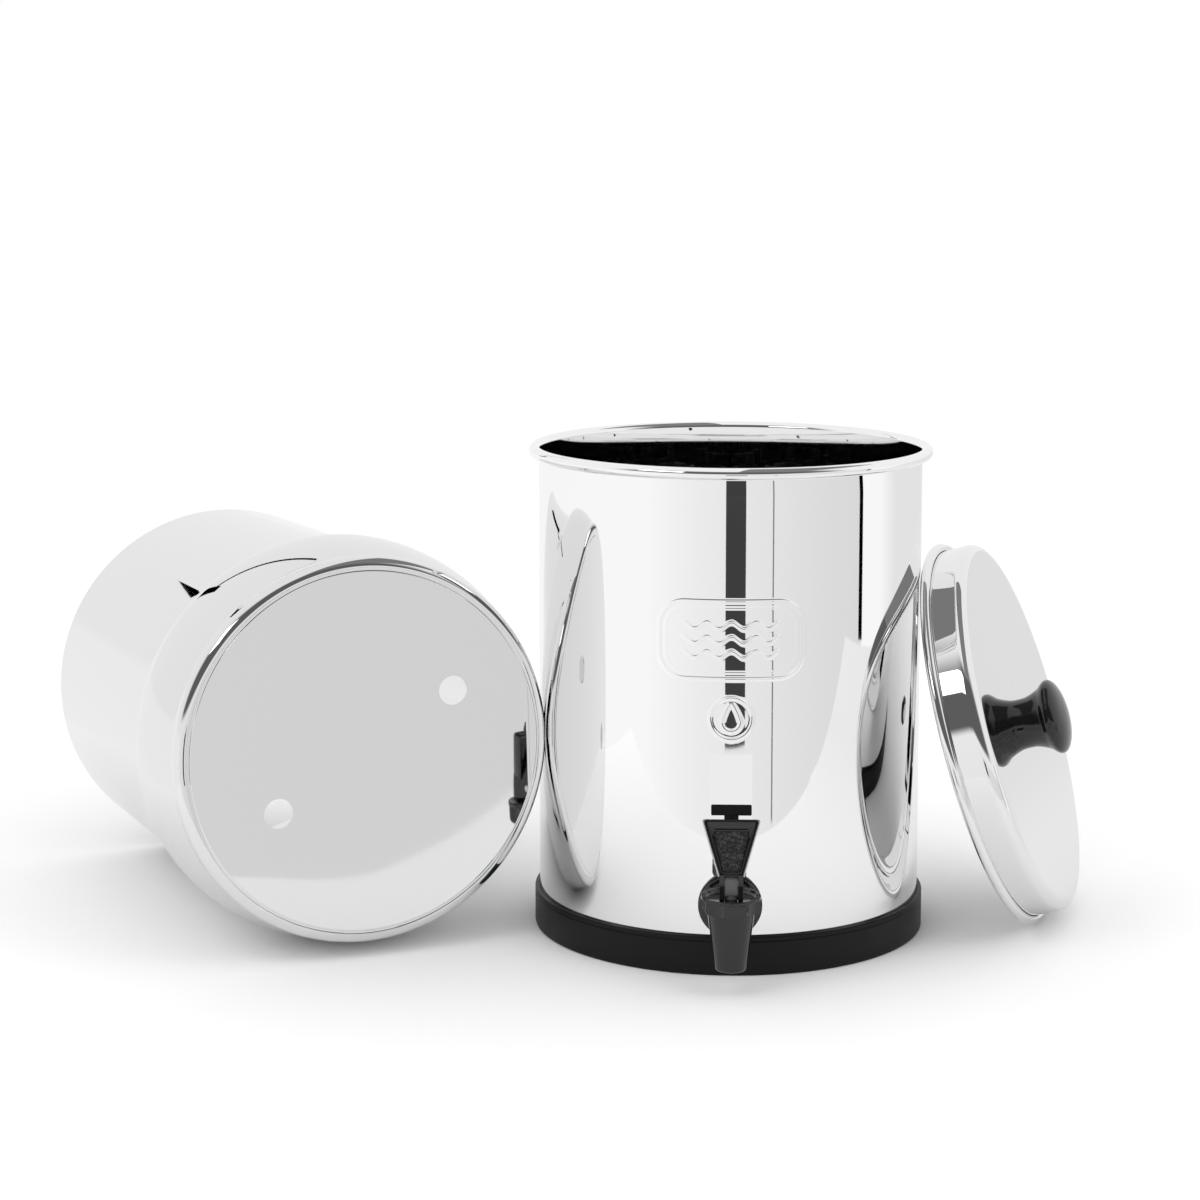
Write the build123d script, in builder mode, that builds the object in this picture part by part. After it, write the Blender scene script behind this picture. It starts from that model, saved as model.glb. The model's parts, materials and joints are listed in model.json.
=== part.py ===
from build123d import *
from math import atan, cos, pi, radians, sin, sqrt
import os

os.makedirs("parts", exist_ok=True)

# Gravity water filter: a lower chamber with a tap stands on its rubber base, the upper
# chamber lies on its side at its left, and the lid leans on its right.
# Millimetres, +Z up, tap towards -Y, origin under the lower chamber's axis on the floor.

# Sheet and chambers
wall = 0.7  # stainless sheet
lower_r = 90.3  # outside of the lower chamber's wall
lower_h = 230.4  # floor to rim top
floor_corner = 6.0  # outside corner round the lower chamber's bottom
rim_tube = 2.8  # outside radius of the lower chamber's rolled rim
curl_end = -125.0  # where each curl stops, in degrees round its tube
upper_r = 88.3
upper_len = 233.7
neck_clear = 0.4  # neck in the lower chamber's mouth
neck_len = 8.0
neck_corner = 4.5
shoulder_out = 4.5  # how far the shoulder stands proud of the lower chamber's wall
shoulder_at = 45.7  # from the bottom face
crease_at = 73.1  # where the shoulder runs out into the straight wall
flare_slope = 0.3  # how steeply the flare leaves the neck
filter_hole_fit = 0.8  # filter stem in its hole
filter_hole_ring = 49.0
filter_hole_turn = 30.3

# Lid and knob
lid_clear = 0.4  # lid over the upper chamber's wall
lid_tube = 2.35
lid_h = 18.2  # middle of the curl to the flat top
lid_corner = 5.0
knob_seat_r = 11.95
knob_waist = (12.4, 4.4)
knob_flare = (14.6, 9.8)
knob_rim_r = 17.9
knob_rim_at = 15.0
knob_h = 21.3
screw_r = 2.5
screw_fit = 0.15
screw_head_r = 4.8
screw_head_h = 2.8
screw_reach = 10.0  # thread inside the knob
screw_end_gap = 2.0
knob_washer_edge = 2.7  # proud of the screw's head
knob_washer_t = 1.0

# Where the two loose groups lie
rest_gap = 0.3  # between pieces that only lean on each other
upper_turn = 25.2  # bottom face turned this far from the front towards the lower chamber
upper_ahead = 8.9  # bottom face behind the lower chamber's axis, along its own axis
lid_turn = 15.2
lid_lean = 17.2
lid_bearing = 5.9

# Rubber base
base_h = 18.0
base_wall = 2.2
base_floor = 2.5
base_lip = 1.6
base_fit = 0.05

# Tap: heights from the shank's axis, or from the piece below
tap_z = 32.6  # floor to the shank's axis
tap_reach = 30.0  # chamber wall to the spout's axis
shank_r = 7.9
shank_in = 16.0
shank_bore = 3.6
shank_fit = 0.2
barrel_wall = 1.6
barrel_root_r = 9.0
flange_r = 14.0
flange_t = 2.6
flange_step_in = 2.4
flange_step_t = 1.6
outer_washer_t = 2.0
inner_washer_t = 2.4
washer_inset = 0.5
outer_washer_edge = 0.4  # proud of the flange
nut_wall = 4.1
nut_t = 8.0
nut_collar_out = 5.1
nut_collar_t = 2.0
spout_drop = 20.8
spout_r = 7.0
spout_lip = 1.3
spout_wall = 1.8
spout_bore_len = 11.0
body_r = 10.5
body_rise = 8.4
valve_wall = 0.88  # left beside the valve's seat
seat_drop = 7.6
seat_bore = 4.2
bonnet_wall = 2.6
bonnet_lap = 3.0
bonnet_rim = 0.9
bonnet_fit = 0.1
bonnet_round = 2.0
dish_border = 2.6
dish_depth = 1.6
crown_t = 1.6
flutes = 8
flute_turn = -81.0  # first flute, in degrees from the right
flute_r = 11.7
flute_depth = 2.1
flute_top = 1.9  # below the bonnet's top
stem_r = 2.7
stem_fit = 0.3
stem_foot_lift = 2.5  # over the valve's seat
stem_foot_len = 2.9
stem_collar_t = 1.2
stem_head_w = 0.2  # more than the rod, as is the depth
stem_head_d = 1.0
stem_head_below = 5.0
stem_head_above = 4.2
stem_head_round = 1.6
cup_side_gap = 0.4
cup_flare = 1.2
cup_wall = 1.0
cup_gap = 0.1
spring_wire = 0.4
spring_clear = 1.3  # round the stem
spring_turns = 5
spring_gap = 0.15
spring_room = 1.4  # spring's end above the body
spring_seat_edge = 0.4
spring_pocket_clear = 1.2

# Tap handle, measured from its pin
pin_rise = 6.2  # over the bonnet's dish
pin_r = 1.2
pin_fit = 0.05
cam_reach = 5.0  # how far the feet lift the stem for each radian of turn
cam_turn = 36.0
foot_gap = 0.3
foot_back = 3.4
ear_t = 2.1
ear_gap = 0.25
ear_back = 4.6
ear_join = 16.0
heel_front = 8.8
heel_z = 6.2
paddle_low_edge = 0.05  # beside the ears
paddle_top_w = 24.8
paddle_len = 24.4
paddle_lean = 18.0
paddle_depth = 6.0
paddle_draft = 6.0
paddle_corner = 1.4
paddle_border = 1.3
panel_ledge = 4.8
panel_side = 3.4
panel_depth = 2.2
panel_skin = 1.4
tab_w = 17.8
tab_h = 4.75
tab_t = 2.4
tab_neck_w = 6.3
tab_neck_h = 2.0
tab_groove_w = 2.2
tab_groove = 0.8
tab_back = 3.2
tab_round = 0.6

# Filter elements, stored stem up in the lower chamber
filter_pair_gap = 6.4
filter_wall_gap = 12.0
filter_gap = 0.2
cartridge_r = 25.4
cartridge_len = 146.0
cartridge_round = 9.0
cap_wall = 0.8
cap_h = 12.0
cap_fit = 0.1
cap_lap = 5.0
cap_round = 2.0
filter_stem_r = 6.0
filter_stem_len = 33.0
filter_stem_bore = 2.2
seal_out = 6.5
seal_t = 3.0
thread_fit = 0.1
wing_hub_wall = 3.5
wing_hub_h = 8.0
wing_span = 36.0
wing_t = 3.0
wing_h = 10.0
wing_round = 4.0

# Worked out from the sizes above
lower_in = lower_r - wall
rim_mid = lower_in + rim_tube
rim_level = lower_h - rim_tube
lower_floor = base_floor + base_fit + wall
neck_r = lower_in - neck_clear
shoulder_r = lower_r + shoulder_out
lid_in = upper_r + lid_clear
lid_r = lid_in + wall
lid_mid = lid_in + lid_tube
tap_y = -(lower_r + tap_reach)
tap_axis = Axis((0, tap_y, 0), (0, 0, 1))
washer_face = -(lower_r + outer_washer_t)
inner_face = -(lower_in - inner_washer_t)
nut_collar_r = shank_r + nut_collar_out
flange_step_r = flange_r - flange_step_in
barrel_r = shank_bore + barrel_wall
spout_z = tap_z - spout_drop
spout_bore = spout_r - spout_wall
seat_z = tap_z - seat_drop
body_top = tap_z + body_rise
bonnet_low = body_top - bonnet_lap
cone_low = spout_z + spout_lip
cone_top = bonnet_low - bonnet_fit
seat_share = (seat_z - cone_low) / (cone_top - cone_low)
valve_r = spout_r + (body_r - spout_r) * seat_share - valve_wall
bonnet_r = body_r + bonnet_fit + bonnet_wall
dish_r = bonnet_r - dish_border
spring_roof = body_top + spring_room
dish_floor = spring_roof + crown_t
bonnet_top = dish_floor + dish_depth
pin_z = dish_floor + pin_rise
stem_foot_z = seat_z + stem_foot_lift
stem_collar_z = stem_foot_z + stem_foot_len
head_w = 2 * stem_r + stem_head_w
head_d = 2 * stem_r + stem_head_d
spring_r = stem_r + spring_clear + spring_wire
stem_collar_r = spring_r + spring_wire + spring_seat_edge
spring_pocket_r = spring_r + spring_wire + spring_pocket_clear
cup_lip_r = valve_r - cup_side_gap
cup_r = cup_lip_r - cup_flare
ear_in = head_w / 2 + ear_gap
paddle_low_half = ear_in + ear_t + paddle_low_edge
cap_r = cartridge_r + cap_fit + cap_wall
filter_x = cap_r + filter_pair_gap / 2
filter_y = sqrt((lower_in - cap_r - filter_wall_gap) ** 2 - filter_x**2)


def rolled_rim(mid_r, level, tube, away):
    """Edges of a sheet rolled outwards into a tube, from the wall's outside to its inside."""
    bore = tube - wall

    def spot(radius, turn):
        return (mid_r + radius * cos(radians(turn)), level + away * radius * sin(radians(turn)))

    ThreePointArc(spot(bore, 180), spot(bore, 0), spot(bore, curl_end))
    Line(spot(bore, curl_end), spot(tube, curl_end))
    ThreePointArc(spot(tube, curl_end), spot(tube, 0), spot(tube, 180))


def corner(centre, radius, start, end):
    """A round corner between two angles about its centre."""
    spots = [
        (centre[0] + radius * cos(radians(turn)), centre[1] + radius * sin(radians(turn)))
        for turn in (start, (start + end) / 2, end)
    ]
    ThreePointArc(*spots)


def round_bar(near_y, far_y, radius, mode=Mode.ADD):
    """A round bar along the tap's shank, between two places on Y."""
    with BuildSketch(Plane.XZ.offset(-near_y)) as disc:
        with Locations((0, tap_z)):
            Circle(radius)
    extrude(disc.sketch, amount=near_y - far_y, mode=mode)


# Lower chamber: one sheet shell, closed at the bottom, rolled over at the rim
with BuildPart() as lower_chamber:
    shell_low = base_floor + base_fit
    with BuildSketch(Plane.XZ):
        with BuildLine():
            Line((0, shell_low), (lower_r - floor_corner, shell_low))
            corner((lower_r - floor_corner, shell_low + floor_corner), floor_corner, -90, 0)
            Line((lower_r, shell_low + floor_corner), (lower_r, rim_level))
            rolled_rim(rim_mid, rim_level, rim_tube, 1)
            Line((lower_in, rim_level), (lower_in, shell_low + floor_corner))
            corner((lower_r - floor_corner, shell_low + floor_corner), floor_corner - wall, 0, -90)
            Line((lower_r - floor_corner, lower_floor), (0, lower_floor))
            Line((0, lower_floor), (0, shell_low))
        make_face()
    revolve(axis=Axis.Z)
    round_bar(-(lower_in - wall), -(lower_r + wall), shank_r + shank_fit, Mode.SUBTRACT)

# Rubber base: a shallow cup pressed over the chamber's bottom
with BuildPart() as rubber_base:
    cup_in = lower_r + base_fit
    cup_out = cup_in + base_wall
    with BuildSketch(Plane.XZ):
        with BuildLine():
            Polyline((0, 0), (cup_out - base_lip, 0), (cup_out, base_lip), (cup_out, base_h - base_lip))
            Line((cup_out, base_h - base_lip), (cup_out - base_lip / 2, base_h))
            Line((cup_out - base_lip / 2, base_h), (cup_in, base_h))
            Line((cup_in, base_h), (cup_in, base_floor + floor_corner))
            corner((cup_in - floor_corner, base_floor + floor_corner), floor_corner, 0, -90)
            Line((cup_in - floor_corner, base_floor), (0, base_floor))
            Line((0, base_floor), (0, 0))
        make_face()
    revolve(axis=Axis.Z)

# Tap body: tapered spout, valve chamber, barrel, flange and threaded shank
with BuildPart() as tap_body:
    with BuildSketch(Plane.XZ.offset(-tap_y)):
        with BuildLine():
            Polyline(
                (0, spout_z),
                (spout_r - spout_lip, spout_z),
                (spout_r, cone_low),
                (body_r, cone_top),
                (body_r, body_top),
                (0, body_top),
                (0, spout_z),
            )
        make_face()
    revolve(axis=tap_axis)
    round_bar(washer_face, tap_y, barrel_r)
    root = washer_face - flange_t - flange_step_t
    with BuildSketch(Plane.XZ.offset(-root)):
        with Locations((0, tap_z)):
            Circle(barrel_root_r)
    with BuildSketch(Plane.XZ.offset(-(root - barrel_root_r + barrel_r))):
        with Locations((0, tap_z)):
            Circle(barrel_r)
    loft()
    round_bar(washer_face, washer_face - flange_t, flange_r)
    round_bar(washer_face, washer_face - flange_t - flange_step_t, flange_step_r)
    round_bar(-lower_in + shank_in, washer_face, shank_r)
    with BuildSketch(Plane.XZ.offset(-tap_y)):
        with BuildLine():
            Polyline(
                (0, spout_z),
                (spout_bore, spout_z),
                (spout_bore, spout_z + spout_bore_len),
                (seat_bore, seat_z),
                (valve_r, seat_z),
                (valve_r, body_top),
                (0, body_top),
                (0, spout_z),
            )
        make_face()
    revolve(axis=tap_axis, mode=Mode.SUBTRACT)
    round_bar(-lower_in + shank_in, tap_y, shank_bore, Mode.SUBTRACT)

# Washers either side of the wall, each following its curve
with BuildPart() as tap_outer_washer:
    round_bar(-lower_in + washer_inset, washer_face, flange_r + outer_washer_edge)
    round_bar(-lower_in + washer_inset, washer_face, shank_r + shank_fit, Mode.SUBTRACT)
    with BuildSketch():
        Circle(lower_r + base_fit)
    extrude(amount=2 * tap_z, mode=Mode.SUBTRACT)

with BuildPart() as tap_inner_washer:
    round_bar(inner_face, -lower_r, nut_collar_r)
    round_bar(inner_face, -lower_r, shank_r + shank_fit, Mode.SUBTRACT)
    with BuildSketch():
        Circle(lower_in - base_fit)
    extrude(amount=2 * tap_z, mode=Mode.INTERSECT)

# Hexagon nut with a collar, run up the shank inside the chamber
with BuildPart() as tap_nut:
    round_bar(inner_face + nut_collar_t, inner_face, nut_collar_r)
    with BuildSketch(Plane.XZ.offset(-(inner_face + nut_t))):
        with Locations((0, tap_z)):
            RegularPolygon(shank_r + nut_wall, 6, major_radius=False)
    extrude(amount=nut_t - nut_collar_t)
    round_bar(inner_face + nut_t, inner_face, shank_r + thread_fit, Mode.SUBTRACT)

# Bonnet: fluted cap with a dished top, screwed over the valve chamber
with BuildPart() as tap_bonnet:
    with BuildSketch(Plane.XZ.offset(-tap_y)):
        with BuildLine():
            bonnet_in = body_r + bonnet_fit
            roof = body_top + 2 * bonnet_fit
            Line((bonnet_in, bonnet_low), (bonnet_r - bonnet_round, bonnet_low))
            corner((bonnet_r - bonnet_round, bonnet_low + bonnet_round), bonnet_round, -90, 0)
            Line((bonnet_r, bonnet_low + bonnet_round), (bonnet_r, bonnet_top - bonnet_rim / 2))
            Line((bonnet_r, bonnet_top - bonnet_rim / 2), (bonnet_r - bonnet_rim / 2, bonnet_top))
            Line((bonnet_r - bonnet_rim / 2, bonnet_top), (bonnet_r - bonnet_rim, bonnet_top))
            Spline(
                (bonnet_r - bonnet_rim, bonnet_top),
                (dish_r, dish_floor),
                tangents=((-0.4, -1), (-1, 0)),
            )
            Line((dish_r, dish_floor), (stem_r + stem_fit, dish_floor))
            Line((stem_r + stem_fit, dish_floor), (stem_r + stem_fit, spring_roof))
            Line((stem_r + stem_fit, spring_roof), (spring_pocket_r, spring_roof))
            Line((spring_pocket_r, spring_roof), (spring_pocket_r, roof))
            Line((spring_pocket_r, roof), (bonnet_in, roof))
            Line((bonnet_in, roof), (bonnet_in, bonnet_low))
        make_face()
    revolve(axis=tap_axis)
    with BuildSketch(Plane.XY.offset(bonnet_low)):
        with Locations((0, tap_y)):
            with PolarLocations(bonnet_r + flute_r - flute_depth, flutes, start_angle=flute_turn):
                Circle(flute_r)
    extrude(amount=bonnet_top - bonnet_low - flute_top, mode=Mode.SUBTRACT)

# Side view of the stem's head and the handle: origin on the pin, x to the back, y up
grip_side = Plane(origin=(0, tap_y, pin_z), x_dir=(0, 1, 0), z_dir=(1, 0, 0))

# Stem: flat head for the pin, round rod, spring collar and foot
with BuildPart() as tap_stem:
    with BuildSketch(Plane.XZ.offset(-tap_y)):
        with BuildLine():
            Polyline(
                (0, stem_foot_z),
                (stem_r, stem_foot_z),
                (stem_r, stem_collar_z),
                (stem_collar_r, stem_collar_z),
                (stem_collar_r, stem_collar_z + stem_collar_t),
                (stem_r, stem_collar_z + stem_collar_t),
                (stem_r, pin_z - stem_head_below + stem_head_round),
                (0, pin_z - stem_head_below + stem_head_round),
                (0, stem_foot_z),
            )
        make_face()
    revolve(axis=tap_axis)
    with BuildSketch(grip_side):
        with Locations((0, (stem_head_above - stem_head_below) / 2)):
            RectangleRounded(head_d, stem_head_above + stem_head_below, stem_head_round)
    extrude(amount=head_w / 2, both=True)
    with BuildSketch(grip_side):
        Circle(pin_r + pin_fit)
    extrude(amount=head_w, both=True, mode=Mode.SUBTRACT)

# Seat cup: soft plug with a flared lip, held on the stem's foot
with BuildPart() as tap_seat_cup:
    cup_low = seat_z + cup_gap
    cup_top = stem_collar_z - cup_gap
    with BuildSketch(Plane.XZ.offset(-tap_y)):
        with BuildLine():
            Polyline(
                (0, cup_low),
                (cup_r, cup_low),
                (cup_lip_r, cup_top),
                (cup_lip_r - cup_wall, cup_top),
                (cup_r - cup_wall, stem_foot_z + cup_wall),
                (stem_r + cup_wall, stem_foot_z + cup_wall),
                (stem_r + cup_wall, cup_top),
                (stem_r + cup_gap, cup_top),
                (stem_r + cup_gap, stem_foot_z - cup_gap),
                (0, stem_foot_z - cup_gap),
                (0, cup_low),
            )
        make_face()
    revolve(axis=tap_axis)

# Spring round the stem, between its collar and the bonnet's roof
spring_low = stem_collar_z + stem_collar_t + spring_wire + spring_gap
spring_high = spring_roof - spring_wire - spring_gap
with BuildPart() as tap_spring:
    with BuildLine() as coil:
        Helix(
            pitch=(spring_high - spring_low) / spring_turns,
            height=spring_high - spring_low,
            radius=spring_r,
            center=(0, tap_y, spring_low),
        )
    with BuildSketch(Plane(origin=coil.line @ 0, z_dir=coil.line % 0)):
        RegularPolygon(spring_wire, 6)
    sweep(path=coil.line, is_frenet=True)

# Handle: a hollow paddle leaning back, a tab on its top, and two ears round the stem's head.
# The ears end in cam feet, which lift the stem evenly as the paddle is pulled forward.
foot_low = pin_rise - foot_gap
paddle = Plane(Location((0, tap_y - heel_front, pin_z + heel_z), (90 - paddle_lean, 0, 0)))


def trapezoid(low_y, low_half, high_y, high_half):
    """Closed outline that widens evenly from its lower edge to its upper one."""
    Polyline((-low_half, low_y), (low_half, low_y), (high_half, high_y), (-high_half, high_y), close=True)


def foot_spot(share):
    """Point of the cam foot that touches the bonnet at this share of the handle's turn."""
    angle = radians(cam_turn) * share
    depth = foot_low + cam_reach * angle
    back = cam_reach * cos(angle) + depth * sin(angle)
    return (-back, cam_reach * sin(angle) - depth * cos(angle))


with BuildPart() as tap_handle:
    paddle_top_half = paddle_top_w / 2
    inner_half = paddle_low_half - paddle_border
    low = 2 * paddle_border
    high = paddle_len - paddle_border
    with BuildSketch(paddle):
        with BuildLine():
            trapezoid(0, paddle_low_half, paddle_len, paddle_top_half)
        make_face()
        fillet(vertices().group_by(Axis.Y)[-1], paddle_corner)
    extrude(amount=-paddle_depth, taper=-paddle_draft)
    with BuildSketch(paddle):
        with BuildLine():
            trapezoid(low, paddle_low_half - paddle_border / 2, high, paddle_top_half - 2 * paddle_border)
        make_face()
    with BuildSketch(paddle.offset(-panel_depth)):
        with BuildLine():
            panel_half = paddle_top_half - panel_side
            trapezoid(low, inner_half, paddle_len - panel_ledge, panel_half - paddle_border)
        make_face()
    loft(mode=Mode.SUBTRACT)
    with BuildSketch(paddle.offset(-paddle_depth)):
        with BuildLine():
            trapezoid(low, inner_half, high, panel_half)
        make_face()
    extrude(amount=paddle_depth - panel_depth - panel_skin, mode=Mode.SUBTRACT)
    for side in (-1, 1):
        with BuildSketch(grip_side.offset(side * (ear_in + ear_t / 2))):
            with BuildLine():
                Line((foot_back, -foot_low), foot_spot(0))
                ThreePointArc(foot_spot(0), foot_spot(0.5), foot_spot(1))
                Line(foot_spot(1), (-heel_front, heel_z))
                join_y = -heel_front + ear_join * sin(radians(paddle_lean))
                join_z = heel_z + ear_join * cos(radians(paddle_lean))
                Line((-heel_front, heel_z), (join_y + panel_depth, join_z))
                Line((join_y + panel_depth, join_z), (join_y + paddle_depth, join_z))
                Line((join_y + paddle_depth, join_z), (ear_back, heel_z))
                Line((ear_back, heel_z), (ear_back, 0))
                Line((ear_back, 0), (foot_back, -foot_low))
            make_face()
        extrude(amount=ear_t / 2, both=True)
    with BuildSketch(grip_side):
        Circle(pin_r + pin_fit)
    extrude(amount=paddle_top_w, both=True, mode=Mode.SUBTRACT)
    with BuildSketch(paddle.offset(-tab_back - tab_t)):
        with Locations((0, paddle_len + tab_neck_h / 2 - tab_round)):
            Rectangle(tab_neck_w, tab_neck_h + 2 * tab_round)
        with Locations((0, paddle_len + tab_neck_h + tab_h / 2)):
            RectangleRounded(tab_w, tab_h, tab_round)
    extrude(amount=tab_t)
    with BuildSketch(paddle.offset(-tab_back - tab_groove)):
        with Locations((0, paddle_len + tab_neck_h / 2)):
            Rectangle(tab_groove_w, tab_neck_h)
    extrude(amount=tab_groove, mode=Mode.SUBTRACT)

# Pin through the ears and the stem's head
with BuildPart() as tap_handle_pin:
    with BuildSketch(grip_side):
        Circle(pin_r)
    extrude(amount=ear_in + ear_t, both=True)

# Upper chamber, lying on its shoulder and on its open edge
tilt = atan((shoulder_r - upper_r) / (upper_len - shoulder_at))
turn = radians(upper_turn)
across = Vector(cos(turn), sin(turn), 0)
facing = Vector(sin(turn) * cos(tilt), -cos(turn) * cos(tilt), sin(tilt))
touch = lower_r + rest_gap + neck_corner
aside = neck_r - neck_corner + sqrt(touch**2 - (upper_ahead + neck_corner) ** 2)
upper_mid = across * -aside + Vector(sin(turn), -cos(turn), 0) * -upper_ahead
upper_mid += Vector(0, 0, shoulder_r * cos(tilt) + shoulder_at * sin(tilt))
upper_face = Plane(origin=upper_mid, x_dir=across, z_dir=facing)
upper_side = Plane(origin=upper_mid, x_dir=across, z_dir=upper_face.y_dir)
upper_axis = Axis(upper_mid, facing * -1)

with BuildPart() as upper_chamber:
    with BuildSketch(upper_side):
        with BuildLine():
            neck_in = neck_r - wall
            Line((0, 0), (neck_r - neck_corner, 0))
            corner((neck_r - neck_corner, neck_corner), neck_corner, -90, 0)
            Line((neck_r, neck_corner), (neck_r, neck_len))
            Spline(
                (neck_r, neck_len),
                (shoulder_r, shoulder_at),
                tangents=((flare_slope, 1), (0, 1)),
            )
            Spline((shoulder_r, shoulder_at), (upper_r, crease_at), tangents=((0, 1), (0, 1)))
            Line((upper_r, crease_at), (upper_r, upper_len))
            Line((upper_r, upper_len), (upper_r - wall, upper_len))
            Line((upper_r - wall, upper_len), (upper_r - wall, crease_at))
            Spline(
                (upper_r - wall, crease_at),
                (shoulder_r - wall, shoulder_at),
                tangents=((0, -1), (0, -1)),
            )
            Spline(
                (shoulder_r - wall, shoulder_at),
                (neck_in, neck_len),
                tangents=((0, -1), (-flare_slope, -1)),
            )
            Line((neck_in, neck_len), (neck_in, neck_corner))
            corner((neck_r - neck_corner, neck_corner), neck_corner - wall, 0, -90)
            Line((neck_r - neck_corner, wall), (0, wall))
            Line((0, wall), (0, 0))
        make_face()
    revolve(axis=upper_axis)
    with BuildSketch(upper_face.offset(wall)):
        with PolarLocations(filter_hole_ring, 2, start_angle=filter_hole_turn):
            Circle(filter_stem_r + filter_hole_fit)
    extrude(amount=-3 * wall, mode=Mode.SUBTRACT)

# Lid, leaning: its curl stands on the floor and its upper edge rests on the lower chamber
lean = radians(lid_lean)
swing = radians(lid_turn)
lid_out = Vector(cos(swing) * cos(lean), -sin(swing) * cos(lean), sin(lean))
lid_across = Vector(sin(swing), cos(swing), 0)
lid_up = Vector(-sin(lean) * cos(swing), sin(lean) * sin(swing), cos(lean))
bearing = Vector(cos(radians(lid_bearing)), sin(radians(lid_bearing)), 0)
touch_r = lower_r + lid_tube + rest_gap
standoff = 0
for step in range(0, 181):
    edge = lid_across * (lid_mid * cos(pi * step / 180)) + lid_up * (lid_mid * sin(pi * step / 180))
    along = edge.X * bearing.X + edge.Y * bearing.Y
    beside = edge.X * bearing.Y - edge.Y * bearing.X
    if abs(beside) < touch_r:
        standoff = max(standoff, sqrt(touch_r**2 - beside**2) - along)
lid_low = bearing * standoff + Vector(0, 0, lid_mid * cos(lean) + lid_tube)
lid_axis = Axis(lid_low, lid_out)
lid_side = Plane(origin=lid_low, x_dir=lid_across, z_dir=lid_across.cross(lid_out))


def lid_plane(height):
    """A plane across the lid's axis, facing out through the knob."""
    return Plane(origin=lid_low + lid_out * height, x_dir=lid_across, z_dir=lid_out)


with BuildPart() as lid_pan:
    with BuildSketch(lid_side):
        with BuildLine():
            round_mid = (lid_r - lid_corner, lid_h - lid_corner)
            Line((0, lid_h), (lid_r - lid_corner, lid_h))
            corner(round_mid, lid_corner, 90, 0)
            Line((lid_r, lid_h - lid_corner), (lid_r, 0))
            rolled_rim(lid_mid, 0, lid_tube, -1)
            Line((lid_in, 0), (lid_in, lid_h - lid_corner))
            corner(round_mid, lid_corner - wall, 0, 90)
            Line((lid_r - lid_corner, lid_h - wall), (0, lid_h - wall))
            Line((0, lid_h - wall), (0, lid_h))
        make_face()
    revolve(axis=lid_axis)
    with BuildSketch(lid_plane(lid_h - 2 * wall)):
        Circle(screw_r + screw_fit)
    extrude(amount=3 * wall, mode=Mode.SUBTRACT)

with BuildPart() as lid_knob:
    knob_hole_top = lid_h + screw_reach + screw_end_gap
    with BuildSketch(lid_side):
        with BuildLine():
            Line((screw_r + screw_fit, lid_h), (knob_seat_r, lid_h))
            Spline(
                (knob_seat_r, lid_h),
                (knob_waist[0], lid_h + knob_waist[1]),
                (knob_flare[0], lid_h + knob_flare[1]),
                (knob_rim_r, lid_h + knob_rim_at),
                tangents=((0, 1), (0, 1)),
            )
            Spline((knob_rim_r, lid_h + knob_rim_at), (0, lid_h + knob_h), tangents=((0, 1), (-1, 0)))
            Line((0, lid_h + knob_h), (0, knob_hole_top))
            Line((0, knob_hole_top), (screw_r + screw_fit, knob_hole_top))
            Line((screw_r + screw_fit, knob_hole_top), (screw_r + screw_fit, lid_h))
        make_face()
    revolve(axis=lid_axis)

with BuildPart() as lid_knob_washer:
    with BuildSketch(lid_plane(lid_h - wall - knob_washer_t)):
        Circle(screw_head_r + knob_washer_edge)
        Circle(screw_r + screw_fit, mode=Mode.SUBTRACT)
    extrude(amount=knob_washer_t)

with BuildPart() as lid_knob_screw:
    head_low = lid_h - wall - knob_washer_t - screw_head_h
    with BuildSketch(lid_plane(head_low)):
        Circle(screw_head_r)
    extrude(amount=screw_head_h)
    fillet(faces().sort_by(lid_axis)[0].edges(), screw_head_h / 3)
    with BuildSketch(lid_plane(lid_h - wall - knob_washer_t)):
        Circle(screw_r)
    extrude(amount=knob_washer_t + wall + screw_reach)

pieces = {
    "lower_chamber": lower_chamber,
    "rubber_base": rubber_base,
    "tap_body": tap_body,
    "tap_outer_washer": tap_outer_washer,
    "tap_inner_washer": tap_inner_washer,
    "tap_nut": tap_nut,
    "tap_bonnet": tap_bonnet,
    "tap_stem": tap_stem,
    "tap_seat_cup": tap_seat_cup,
    "tap_spring": tap_spring,
    "tap_handle": tap_handle,
    "tap_handle_pin": tap_handle_pin,
    "upper_chamber": upper_chamber,
    "lid_pan": lid_pan,
    "lid_knob": lid_knob,
    "lid_knob_washer": lid_knob_washer,
    "lid_knob_screw": lid_knob_screw,
}

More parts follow.
